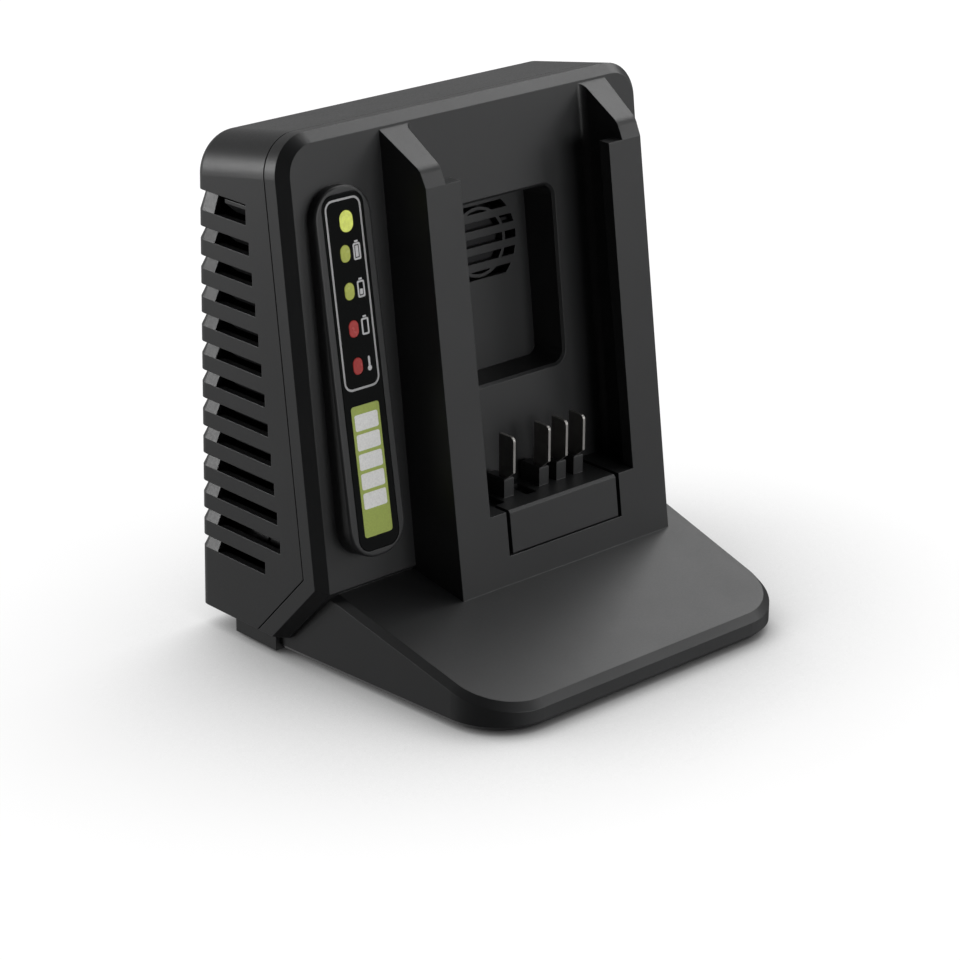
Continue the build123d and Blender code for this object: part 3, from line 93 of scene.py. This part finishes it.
# ---- Finishes: sizes of what shows in each, and how strongly it shows ----------------------------
HOUSING = (0.0205, 0.0210, 0.0218)
MOULD_EDGE = 0.00035        # radius that an edge is rounded by
MOULD_RUBS = 0.006          # stretches of an edge that are rubbed more or less
MOULD_RUBBED = (0.1, 0.9)   # how much of the wear they show
MOULD_WORN_TINT = 1.5
MOULD_WORN_SHINE = -0.10    # change of roughness on a worn edge
MOULD_FLOW = 0.035          # flow blotches
MOULD_TINTS = (0.92, 1.10)
MOULD_GRAIN_SPREAD = 2.5    # size of the duller specks, in grains
MOULD_GRAIN_SWING = 0.035
MOULD_CLOUD = 0.012         # duller and glossier clouds
MOULD_CLOUD_SWING = 0.012
MOULD_RIPPLE = 0.009        # slow waves under the grain
MOULD_RIPPLE_DEPTH = 0.00002
MOULD_RIPPLE_SHOWS = 0.5

FILM_EDGE = 0.00020
FILM_SMEAR = 0.010
FILM_UPRIGHT = (1.0, 1.0, 0.45)
FILM_SMEARED = (0.7, 1.6)   # shares of the film's roughness
FILM_DUST = 0.0004
FILM_DUST_FROM = (0.66, 0.74)
FILM_DUST_SHOWS = 0.25
FILM_DUST_TINT = 2.5
FILM_WAVE = 0.004
FILM_WAVE_DEPTH = 0.000006
FILM_WAVE_SHOWS = 0.6

INK_MOTTLE = 0.0006
INK_TINTS = (0.90, 1.06)
INK_PATCH = 0.003
INK_ROUGH = (0.39, 0.51)
INK_GRAIN = 0.0003
INK_GRAIN_DEPTH = 0.000005

LENS_CLOUD = 0.0012
LENS_CLEAR = (0.75, 1.0)    # light that the clouds let through
LENS_TINTS = (0.30, 0.38)
LENS_FADE = 0.004           # height over which a lens goes from dim to bright
LENS_PATCH = 0.002
LENS_ROUGH = (0.16, 0.30)
LENS_RIPPLE = 0.0008
LENS_RIPPLE_DEPTH = 0.00002

METAL_EDGE = 0.00012
METAL_LINES = 0.00025
METAL_UPRIGHT = (1.0, 1.0, 0.04)
METAL_EVEN = (1.0, 1.0, 1.0)
METAL_LINE_DEPTH = 0.000012
METAL_LINE_SWING = 0.07
METAL_LINE_SHOWS = 0.7
METAL_PATCH = 0.004
METAL_PATCH_TINT = 0.82
METAL_PATCH_DULL = (0.05, -0.03)

BOARD_WEAVE = 900.0         # scale of the wave texture
BOARD_WEAVE_TINT = 0.85
BOARD_TRACKS = 160.0        # cells to the metre
BOARD_TRACK_EDGES = (0.35, 0.42)
BOARD_TRACK_TINT = 1.7
BOARD_TRACK_DEPTH = 0.00003
BOARD_PATCH = 0.003
BOARD_ROUGH = (0.25, 0.40)

TAPE_TURNS = 300.0          # scale of the wave texture
TAPE_WAVER = 0.6
TAPE_TURN_TINT = 0.7
TAPE_TURN_DEPTH = 0.00008
TAPE_PATCH = 0.004
TAPE_ROUGH = (0.18, 0.32)

FUSE_CAP = (0.6, 0.6, 0.6)
FUSE_CLEAR = (0.85, 0.9, 0.88)
FUSE_CAP_EDGES = (0.0046, 0.0048)    # from the middle of the fuse
FUSE_SCRATCH = 0.0005
FUSE_SCRATCH_DEPTH = 0.00001
FUSE_ROUGH = (0.06, 0.22)

# ---- Stage ---------------------------------------------------------------------------------------
FLOOR_SIZE = 8.0
FLOOR_DROP = 0.0002         # below the feet
FLOOR_ROUGH = 0.9
FLOOR_ALBEDO = (0.64, 0.64, 0.64)    # that lights the charger from below
FLOOR_SEEN = (0.16, 0.16, 0.16)      # that the camera sees, beside the glow
FLOOR_GLOW = 0.93           # near the charger. It rises to 1 over the distances of GLOW_EDGES
GLOW_EDGES = (0.45, 1.6)
PAINTED_SHADE_NORMAL = (0.02, 0.36, 0.93)        # normal of the painted shadow's occlusion test, leaning back and up, so the painted shadow falls forwards
SHADE_REACH = 0.14          # what stands nearer than this darkens the floor's glow as painted shadow
SHADE_END = 0.96            # share of unoccluded directions at which the painted shadow ends
SHADE_POWER = 1.6
SHADE_SAMPLES = 12
ROOM = 0.01                 # strength of the world where no screen is
RIGHT_SCREEN = 0.42         # and of the two screens
RIGHT_AXIS = (0.72, -0.69, 0.0)
RIGHT_EDGES = (0.45, 0.90)  # it comes up between these dot products of its axis and a direction
RIGHT_TOP = (0.10, 0.45)    # and fades as directions rise between these
BACK_SCREEN = 0.42
BACK_EDGES = (0.2, 0.8)
LAMP_AIM = (0.0, 0.0, 0.08)

# ---- Values that the node trees share ------------------------------------------------------------
NOISE_SPAN = (0.3, 0.7)     # nearly all of a noise lies between these
MIX_COLOURS = (6, 7)        # places of the two colour inputs of a Mix node
MIX_RESULT = 2
BEVEL_SAMPLES = 6
EDGE_FACING = (0.80, 0.985)    # dot product of true and rounded normal: at an edge, and on a flat face
WHITE = (1.0, 1.0, 1.0, 1.0)
RIGHT = (1.0, 0.0, 0.0)
BACK = (0.0, 1.0, 0.0)
UP = (0.0, 0.0, 1.0)


class Nodes:
    """Node tree, with short calls for the nodes that finishes, floor and world share."""

    def __init__(self, tree, coordinates):
        self.tree = tree
        self.place = self.add("ShaderNodeTexCoord").outputs[coordinates]

    def add(self, kind, **settings):
        node = self.tree.nodes.new(kind)
        for key, value in settings.items():
            setattr(node, key, value)
        return node

    def feed(self, socket, value):
        """Links another node's output to a socket, or writes a plain value into it."""
        if isinstance(value, bpy.types.NodeSocket):
            self.tree.links.new(value, socket)
        else:
            socket.default_value = value

    def math(self, operation, *values):
        node = self.add("ShaderNodeMath", operation=operation)
        for socket, value in zip(node.inputs, values):
            self.feed(socket, value)
        return node.outputs["Value"]

    def spread(self, value, span, low=0.0, high=1.0, curve="LINEAR"):
        """Stretches a value's span over low to high, and holds it beyond."""
        node = self.add("ShaderNodeMapRange", interpolation_type=curve)
        start, end = span
        numbers = {"Value": value, "From Min": start, "From Max": end, "To Min": low, "To Max": high}
        for name, number in numbers.items():
            self.feed(node.inputs[name], number)
        return node.outputs["Result"]

    def along(self, direction):
        """How far each point lies along a direction."""
        node = self.add("ShaderNodeVectorMath", operation="DOT_PRODUCT")
        self.feed(node.inputs[0], self.place)
        self.feed(node.inputs[1], direction)
        return node.outputs["Value"]

    def straight_view(self):
        """1 for what the camera sees, by itself or through glass, and 0 for all other rays."""
        path = self.add("ShaderNodeLightPath").outputs
        return self.math("MAXIMUM", path["Is Camera Ray"], path["Is Transmission Ray"])


class Finish(Nodes):
    """Material that follows the object's own coordinates."""

    def __init__(self, name):
        self.material = bpy.data.materials.new(name)
        self.material.use_nodes = True
        super().__init__(self.material.node_tree, "Object")
        self.shader = self.tree.nodes["Principled BSDF"]

    def give(self, name, value):
        """Feeds a socket of the shader."""
        self.feed(self.shader.inputs[name], value)

    def noise(self, size, detail=2.0, stretch=None):
        """Noise whose blotches are about size metres across, longer where stretch is small."""
        place = self.place
        if stretch:
            mapping = self.add("ShaderNodeMapping")
            self.feed(mapping.inputs["Scale"], stretch)
            self.feed(mapping.inputs["Vector"], place)
            place = mapping.outputs["Vector"]
        node = self.add("ShaderNodeTexNoise")
        self.feed(node.inputs["Scale"], 1.0 / size)
        self.feed(node.inputs["Detail"], detail)
        self.feed(node.inputs["Vector"], place)
        return node.outputs["Fac"]

    def patches(self, size, detail=2.0, low=0.0, high=1.0):
        """Noise that goes from low to high."""
        return self.spread(self.noise(size, detail), NOISE_SPAN, low, high)

    def bands(self, scale, direction, distortion=0.0):
        """Ridges that repeat along a direction."""
        node = self.add("ShaderNodeTexWave", wave_type="BANDS", bands_direction=direction)
        self.feed(node.inputs["Scale"], scale)
        self.feed(node.inputs["Distortion"], distortion)
        self.feed(node.inputs["Vector"], self.place)
        return node.outputs["Fac"]

    def blend(self, fraction, first, second):
        """Colour between two colours, which are tuples or sockets."""
        node = self.add("ShaderNodeMix", data_type="RGBA")
        self.feed(node.inputs["Factor"], fraction)
        for index, colour in zip(MIX_COLOURS, (first, second)):
            self.feed(node.inputs[index], (*colour, 1.0) if isinstance(colour, tuple) else colour)
        return node.outputs[MIX_RESULT]

    def bump(self, height, distance, strength=1.0, normal=None):
        node = self.add("ShaderNodeBump")
        self.feed(node.inputs["Distance"], distance)
        self.feed(node.inputs["Strength"], strength)
        self.feed(node.inputs["Height"], height)
        if normal:
            self.feed(node.inputs["Normal"], normal)
        return node.outputs["Normal"]

    def soft_edges(self, radius):
        """Normal that rounds every edge by radius."""
        bevel = self.add("ShaderNodeBevel", samples=BEVEL_SAMPLES)
        self.feed(bevel.inputs["Radius"], radius)
        return bevel.outputs["Normal"]

    def edge_mask(self, rounded):
        """1 where the rounded normal leaves the face's own, and 0 on flat faces."""
        facing = self.add("ShaderNodeVectorMath", operation="DOT_PRODUCT")
        self.feed(facing.inputs[0], rounded)
        self.feed(facing.inputs[1], self.add("ShaderNodeNewGeometry").outputs["Normal"])
        return self.spread(facing.outputs["Value"], EDGE_FACING, 1.0, 0.0)


def tint(colour, factor):
    """Colour that is darker or paler by a factor."""
    return tuple(min(1.0, channel * factor) for channel in colour)


def around(middle, swing):
    """Lowest and highest value of a swing about a middle."""
    return middle - swing, middle + swing


# ---- Finishes ------------------------------------------------------------------------------------
def moulded(name, colour, rough=0.42, grain=0.00030, depth=0.000016, specular=0.43):
    """Moulded plastic: spark-eroded grain, faint flow blotches, edges rubbed paler and smoother."""
    finish = Finish(name)
    edges = finish.soft_edges(MOULD_EDGE)
    rubs = finish.patches(MOULD_RUBS, 4.0, *MOULD_RUBBED)
    worn = finish.math("MULTIPLY", finish.edge_mask(edges), rubs)
    darker, paler = (tint(colour, factor) for factor in MOULD_TINTS)
    base = finish.blend(finish.patches(MOULD_FLOW, 3.0), darker, paler)
    finish.give("Base Color", finish.blend(worn, base, tint(colour, MOULD_WORN_TINT)))
    fine = finish.patches(grain * MOULD_GRAIN_SPREAD, 2.0, *around(rough, MOULD_GRAIN_SWING))
    cloudy = finish.patches(MOULD_CLOUD, 2.0, *around(0.0, MOULD_CLOUD_SWING))
    rubbed = finish.math("MULTIPLY", worn, MOULD_WORN_SHINE)
    finish.give("Roughness", finish.math("ADD", finish.math("ADD", fine, cloudy), rubbed))
    waves = finish.noise(MOULD_RIPPLE, 1.0)
    ripple = finish.bump(waves, MOULD_RIPPLE_DEPTH, MOULD_RIPPLE_SHOWS, edges)
    finish.give("Normal", finish.bump(finish.noise(grain, 3.0), depth, 1.0, ripple))
    finish.give("Specular IOR Level", specular)
    return finish.material


def glossy(name, colour, rough=0.10, specular=0.5):
    """Smooth gloss plastic or film with faint upright smears and dust."""
    finish = Finish(name)
    smear = finish.noise(FILM_SMEAR, 4.0, FILM_UPRIGHT)
    least, most = (rough * share for share in FILM_SMEARED)
    finish.give("Roughness", finish.spread(smear, NOISE_SPAN, least, most))
    dust = finish.spread(finish.noise(FILM_DUST, 1.0), FILM_DUST_FROM, 0.0, FILM_DUST_SHOWS)
    finish.give("Base Color", finish.blend(dust, colour, tint(colour, FILM_DUST_TINT)))
    edges = finish.soft_edges(FILM_EDGE)
    finish.give("Normal", finish.bump(finish.noise(FILM_WAVE), FILM_WAVE_DEPTH, FILM_WAVE_SHOWS, edges))
    finish.give("Specular IOR Level", specular)
    return finish.material


def print_ink(name, colour):
    """Printed ink: fine screen mottle and a satin surface."""
    finish = Finish(name)
    darker, paler = (tint(colour, factor) for factor in INK_TINTS)
    finish.give("Base Color", finish.blend(finish.patches(INK_MOTTLE, 3.0), darker, paler))
    finish.give("Roughness", finish.patches(INK_PATCH, 2.0, *INK_ROUGH))
    finish.give("Normal", finish.bump(finish.noise(INK_GRAIN), INK_GRAIN_DEPTH))
    return finish.material


def lit_lens(name, colour, glow, bright_from, dim):
    """Moulded light guides, lit from behind, of which the one above bright_from isn't dimmed."""
    finish = Finish(name)
    cloudy = finish.patches(LENS_CLOUD, 3.0, *LENS_CLEAR)
    power = finish.spread(finish.along(UP), (bright_from, bright_from + LENS_FADE), dim, 1.0)
    darker, paler = (tint(colour, factor) for factor in LENS_TINTS)
    finish.give("Base Color", finish.blend(cloudy, darker, paler))
    finish.give("Emission Color", (*colour, 1.0))
    lit = finish.math("MULTIPLY", cloudy, power)
    finish.give("Emission Strength", finish.math("MULTIPLY", lit, glow))
    finish.give("Roughness", finish.patches(LENS_PATCH, 2.0, *LENS_ROUGH))
    finish.give("Normal", finish.bump(finish.noise(LENS_RIPPLE), LENS_RIPPLE_DEPTH))
    return finish.material


def brushed(name, colour, rough=0.28, stretch=METAL_UPRIGHT, scratch=1.0):
    """Rolled or drawn metal with fine scratches, by default upright ones, and duller patches."""
    finish = Finish(name)
    lines = finish.noise(METAL_LINES, 4.0, stretch)
    patch = finish.patches(METAL_PATCH, 3.0)
    finish.give("Base Color", finish.blend(patch, tint(colour, METAL_PATCH_TINT), colour))
    fine = finish.spread(lines, NOISE_SPAN, *around(rough, METAL_LINE_SWING * scratch))
    dull = finish.spread(patch, (0.0, 1.0), *METAL_PATCH_DULL)
    finish.give("Roughness", finish.math("ADD", fine, dull))
    edges = finish.soft_edges(METAL_EDGE)
    finish.give("Normal", finish.bump(lines, METAL_LINE_DEPTH, METAL_LINE_SHOWS * scratch, edges))
    finish.give("Metallic", 1.0)
    return finish.material


def laminate(name, colour):
    """Lacquered circuit board: glass weave under the lacquer and paler track patches."""
    finish = Finish(name)
    cells = finish.add("ShaderNodeTexVoronoi", distance="MANHATTAN")
    finish.feed(cells.inputs["Scale"], BOARD_TRACKS)
    finish.feed(cells.inputs["Vector"], finish.place)
    tracks = finish.spread(cells.outputs["Distance"], BOARD_TRACK_EDGES)
    base = finish.blend(finish.bands(BOARD_WEAVE, "DIAGONAL"), tint(colour, BOARD_WEAVE_TINT), colour)
    finish.give("Base Color", finish.blend(tracks, base, tint(colour, BOARD_TRACK_TINT)))
    finish.give("Roughness", finish.patches(BOARD_PATCH, 2.0, *BOARD_ROUGH))
    finish.give("Normal", finish.bump(tracks, BOARD_TRACK_DEPTH))
    return finish.material


def taped(name, colour):
    """Windings under polyester tape, or ribbed vinyl: turns show as fine ridges."""
    finish = Finish(name)
    turns = finish.bands(TAPE_TURNS, "Z", TAPE_WAVER)
    finish.give("Base Color", finish.blend(turns, tint(colour, TAPE_TURN_TINT), colour))
    finish.give("Roughness", finish.patches(TAPE_PATCH, 2.0, *TAPE_ROUGH))
    finish.give("Normal", finish.bump(turns, TAPE_TURN_DEPTH))
    return finish.material


def fuse_glass(name):
    """Clear glass in the middle and plated caps at both ends."""
    finish = Finish(name)
    low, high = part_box("fuse")
    middle = (low[0] + high[0]) / 2
    away = finish.math("ABSOLUTE", finish.math("SUBTRACT", finish.along(RIGHT), middle))
    cap = finish.spread(away, FUSE_CAP_EDGES)
    scratch = finish.noise(FUSE_SCRATCH, 3.0)
    finish.give("Base Color", finish.blend(cap, FUSE_CLEAR, FUSE_CAP))
    finish.give("Metallic", cap)
    finish.give("Transmission Weight", finish.spread(away, FUSE_CAP_EDGES, 1.0, 0.0))
    finish.give("Roughness", finish.spread(scratch, NOISE_SPAN, *FUSE_ROUGH))
    finish.give("Normal", finish.bump(scratch, FUSE_SCRATCH_DEPTH))
    return finish.material


def dress_nodes():
    """Gives every CAD node its finish."""
    housing = moulded("housing_plastic", HOUSING)
    cover = moulded("cover_plastic", tint(HOUSING, 0.7), rough=0.5)
    fan = moulded("fan_plastic", (0.010, 0.010, 0.011), rough=0.50, grain=0.0002, specular=0.25)
    steel = brushed("screw_steel", (0.50, 0.50, 0.51), stretch=METAL_EVEN)
    nickel = brushed("blade_nickel", (0.37, 0.36, 0.345), rough=0.45, scratch=0.35)
    board = laminate("board_laminate", (0.02, 0.13, 0.055))
    green = lit_lens("lens_green", (0.58, 0.64, 0.13), glow=0.83, bright_from=0.143, dim=0.40)
    red = lit_lens("lens_red", (0.62, 0.065, 0.060), glow=0.27, bright_from=0.108, dim=0.75)
    rubber = moulded("foot_rubber", (0.022, 0.022, 0.023), rough=0.75, grain=0.0006, depth=0.00003)
    ferrite = moulded("ferrite", (0.05, 0.05, 0.055), rough=0.5, grain=0.0005, depth=0.00005)
    finishes = {
        "front_housing": housing,
        "rear_housing": housing,
        "bottom_cover": cover,
        "rubber_feet": rubber,
        "housing_screws": steel,
        "bottom_screws": steel,
        "indicator_window": glossy("window_gloss", (0.003, 0.0035, 0.0035), specular=0.10),
        "label_panel": print_ink("label_ink", (0.37, 0.455, 0.080)),
        "green_light_guides": green,
        "red_light_guides": red,
        "led_board": board,
        "indicator_leds": glossy("led_package", (0.75, 0.75, 0.68), rough=0.3),
        "led_board_screws": steel,
        "ribbon_cable": taped("ribbon_vinyl", (0.42, 0.42, 0.43)),
        "terminal_block": moulded("insert_plastic", tint(HOUSING, 1.05), rough=0.40, grain=0.00022),
        "blade_positive": nickel,
        "blade_temperature": nickel,
        "blade_data": nickel,
        "blade_negative": nickel,
        "fan_frame": fan,
        "fan_rotor": fan,
        "fan_screws": steel,
        "fan_lead": moulded("lead_vinyl", (0.02, 0.02, 0.02), rough=0.45),
        "main_circuit_board": board,
        "board_screws": steel,
        "transformer_core": ferrite,
        "transformer_winding": taped("winding_tape", (0.62, 0.40, 0.05)),
        "filter_choke": taped("choke_turns", (0.45, 0.16, 0.05)),
        "bulk_capacitors": glossy("bulk_sleeve", (0.015, 0.02, 0.06), rough=0.22),
        "output_capacitors": glossy("output_sleeve", (0.02, 0.07, 0.05), rough=0.22),
        "heat_sink": brushed("sink_aluminium", (0.66, 0.67, 0.68), rough=0.38),
        "power_transistors": moulded("device_epoxy", (0.02, 0.02, 0.021), rough=0.55, grain=0.00015),
        "fuse": fuse_glass("fuse_glass"),
        "fuse_clips": brushed("clip_brass", (0.62, 0.52, 0.33), rough=0.32),
        "mains_inlet": cover,
        "inlet_pins": nickel,
    }
    for name, node in NODES.items():
        node.data.materials.clear()
        node.data.materials.append(finishes[name])


# ---- Printed marks on the indicator strip --------------------------------------------------------
def pill_point(across, height, proud):
    """Point on the pill's face: across from its middle, at a height, proud of the face."""
    slant = math.hypot(1, PILL_LEAN)
    y = PILL_FOOT + PILL_LEAN * height
    return Vector((PILL_X + across, y - proud / slant, height + proud * PILL_LEAN / slant))


def rounded(width, tall, corner, across, height):
    """Outline of a rounded rectangle whose middle lies across and at a height."""
    points = []
    for quarter, (x, y) in enumerate(((1, 1), (-1, 1), (-1, -1), (1, -1))):
        for step in range(CORNER_STEPS + 1):
            angle = math.radians(90 * quarter + 90 * step / CORNER_STEPS)
            points.append((
                across + (x * (width / 2 - corner) + corner * math.cos(angle)),
                height + (y * (tall / 2 - corner) + corner * math.sin(angle)),
            ))
    return points


def span_rings(mesh, first, second):
    """Faces between two rings with equally many corners."""
    count = len(first)
    for index in range(count):
        after = (index + 1) % count
        mesh.faces.new((first[index], first[after], second[after], second[index]))


def printed(name, shapes, ink):
    """One printed piece from shapes, each an outline and perhaps a hole of (across, height) points."""
    mesh = bmesh.new()
    for rings in shapes:
        low, high = (
            [[mesh.verts.new(pill_point(*point, proud)) for point in ring] for ring in rings]
            for proud in (INK_LIFT, INK_LIFT + INK_THICK)
        )
        for below, above in zip(low, high):
            span_rings(mesh, below, above)
        for loops in (low, high):
            if len(loops) > 1:
                span_rings(mesh, *loops)
            else:
                mesh.faces.new(loops[0])
    bmesh.ops.recalc_face_normals(mesh, faces=mesh.faces)
    data = bpy.data.meshes.new(name)
    mesh.to_mesh(data)
    mesh.free()
    data.materials.append(ink)
    piece = bpy.data.objects.new(name, data)
    bpy.context.scene.collection.objects.link(piece)
    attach(piece, "charger")


def framed(width, tall, corner, inner_corner, line, across, height):
    """Outline and hole of a rounded frame."""
    return (
        rounded(width, tall, corner, across, height),
        rounded(width - 2 * line, tall - 2 * line, inner_corner, across, height),
    )


def print_window_outline():
    middle = (WINDOW_LOW + WINDOW_HIGH) / 2
    tall = WINDOW_HIGH - WINDOW_LOW
    inner_corner = WINDOW_CORNER - WINDOW_LINE
    frame_shape = framed(WINDOW_WIDTH, tall, WINDOW_CORNER, inner_corner, WINDOW_LINE, 0, middle)
    printed("window_outline", [frame_shape], print_ink("ink_grey", (0.42, 0.42, 0.425)))


def print_pictograms():
    """Full, half-full and empty cell beside three state lights, and a thermometer beside the last."""
    across = ICON_ACROSS
    icons = []
    for number, filled in enumerate(ICON_LEVELS):
        height = ICON_TOP - ICON_STEP * number
        corners = (CELL_CORNER, CELL_CORNER / 2)
        icons.append(framed(CELL_WIDTH, CELL_TALL, *corners, CELL_LINE, across, height))
        cap_height = height + CELL_TALL / 2 + CAP_RISE
        icons.append([rounded(CELL_WIDTH * CAP_SHARE, CAP_TALL, CAP_CORNER, across, cap_height)])
        if filled:
            level = (CELL_TALL - 3 * CELL_LINE) * filled
            base = height - CELL_TALL / 2 + 1.5 * CELL_LINE
            width = CELL_WIDTH - 3 * CELL_LINE
            icons.append([rounded(width, level, CELL_LEVEL_CORNER, across, base + level / 2)])
    icons.append([rounded(BULB_SIZE, BULB_SIZE, BULB_CORNER, across, BULB_HEIGHT)])
    icons.append([rounded(STEM_WIDTH, STEM_TALL, STEM_WIDTH / 2, across, STEM_HEIGHT)])
    printed("state_pictograms", icons, print_ink("ink_pale", (0.62, 0.62, 0.63)))


def print_charge_bars():
    """Plain row of bars on the green label."""
    heights = [BAR_LOWEST + BAR_STEP * number for number in range(BAR_COUNT)]
    bars = [[rounded(BAR_WIDTH, BAR_TALL, BAR_CORNER, 0, height)] for height in heights]
    printed("charge_bars", bars, print_ink("ink_white", (0.86, 0.86, 0.84)))


# ---- Stage ---------------------------------------------------------------------------------------
def stage_floor():
    """Pale floor that looks white, apart from the charger's shadow, and that reflections don't show.
    The shadow is partly cast by the lamps and partly painted shade: ambient occlusion darkens the
    floor's glow near the charger.
    """
    bpy.ops.mesh.primitive_plane_add(size=FLOOR_SIZE, location=(0, 0, -FLOOR_DROP))
    floor = bpy.context.object
    floor.name = "studio_floor"
    paper = Finish("floor_paper")
    seen = paper.straight_view()
    paper.give("Base Color", paper.blend(seen, FLOOR_ALBEDO, FLOOR_SEEN))
    paper.give("Roughness", FLOOR_ROUGH)
    paper.give("Specular IOR Level", 0.0)
    away = paper.add("ShaderNodeVectorMath", operation="LENGTH")
    paper.feed(away.inputs[0], paper.place)
    glow = paper.spread(away.outputs["Value"], GLOW_EDGES, FLOOR_GLOW, 1.0)
    # Painted shadow: ambient occlusion darkens the glow that the camera sees near the charger, most in
    # front of it.
    painted_shade_normal = paper.add("ShaderNodeCombineXYZ")
    for socket, number in zip(painted_shade_normal.inputs, PAINTED_SHADE_NORMAL):
        paper.feed(socket, number)
    shade = paper.add("ShaderNodeAmbientOcclusion", samples=SHADE_SAMPLES)
    paper.feed(shade.inputs["Distance"], SHADE_REACH)
    paper.feed(shade.inputs["Normal"], painted_shade_normal.outputs["Vector"])
    unshaded_share = paper.spread(shade.outputs["AO"], (0.0, SHADE_END))
    painted_shadow = paper.math("POWER", unshaded_share, SHADE_POWER)
    paper.give("Emission Color", WHITE)
    paper.give("Emission Strength", paper.math("MULTIPLY", paper.math("MULTIPLY", seen, glow), painted_shadow))
    floor.data.materials.append(paper.material)
    floor.visible_glossy = False


def studio_world():
    """White to the camera and through glass. To the rest a dim room with two pale screens."""
    world = bpy.data.worlds.new("studio")
    bpy.context.scene.world = world
    world.use_nodes = True
    nodes = Nodes(world.node_tree, "Generated")
    right = nodes.spread(nodes.along(RIGHT_AXIS), RIGHT_EDGES, 0.0, RIGHT_SCREEN, "SMOOTHSTEP")
    low = nodes.spread(nodes.along(UP), RIGHT_TOP, 1.0, 0.0, "SMOOTHSTEP")
    behind = nodes.spread(nodes.along(BACK), BACK_EDGES, ROOM, BACK_SCREEN, "SMOOTHSTEP")
    room = nodes.math("ADD", nodes.math("MULTIPLY", right, low), behind)
    background = world.node_tree.nodes["Background"]
    nodes.feed(background.inputs["Color"], WHITE)
    nodes.feed(background.inputs["Strength"], nodes.math("MAXIMUM", nodes.straight_view(), room))


def softbox(name, place, size, watts):
    """Oblong area lamp that faces the charger."""
    data = bpy.data.lights.new(name, "AREA")
    data.shape = "RECTANGLE"
    data.size, data.size_y = size
    data.energy = watts
    lamp = bpy.data.objects.new(name, data)
    lamp.location = place
    lamp.rotation_mode = "QUATERNION"
    lamp.rotation_quaternion = (Vector(LAMP_AIM) - Vector(place)).to_track_quat("-Z", "Y")
    bpy.context.scene.collection.objects.link(lamp)


def studio_lamps():
    softbox("left_box", place=(-1.15, 1.15, 0.35), size=(0.6, 0.6), watts=11.8)
    softbox("right_box", place=(1.15, -0.95, 0.60), size=(0.7, 0.8), watts=5.5)
    softbox("top_box", place=(0.85, 0.15, 1.00), size=(0.9, 0.9), watts=9.4)
    softbox("front_box", place=(0.25, -1.55, 0.35), size=(0.8, 0.6), watts=7.6)


def studio_camera():
    """Camera whose axes are worked out from its azimuth, elevation and roll."""
    right = Vector((math.cos(CAMERA_AZIMUTH), math.sin(CAMERA_AZIMUTH), 0.0))
    level_back = Vector((math.sin(CAMERA_AZIMUTH), -math.cos(CAMERA_AZIMUTH), 0.0))
    back = level_back * math.cos(CAMERA_ELEVATION) + Vector((0.0, 0.0, math.sin(CAMERA_ELEVATION)))
    up = back.cross(right)
    turned = right * math.cos(CAMERA_ROLL) + up * math.sin(CAMERA_ROLL)
    raised = up * math.cos(CAMERA_ROLL) - right * math.sin(CAMERA_ROLL)
    turn = Matrix((turned, raised, back)).transposed().to_4x4()
    data = bpy.data.cameras.new("camera")
    data.lens = CAMERA_LENS
    data.sensor_width = CAMERA_SENSOR
    data.clip_start = CAMERA_NEAR
    camera = bpy.data.objects.new("camera", data)
    camera.matrix_world = Matrix.Translation(CAMERA_PLACE) @ turn
    bpy.context.scene.collection.objects.link(camera)
    bpy.context.scene.camera = camera


bpy.context.scene.view_settings.view_transform = "Standard"
dress_nodes()
print_window_outline()
print_pictograms()
print_charge_bars()
stage_floor()
studio_world()
studio_lamps()
studio_camera()
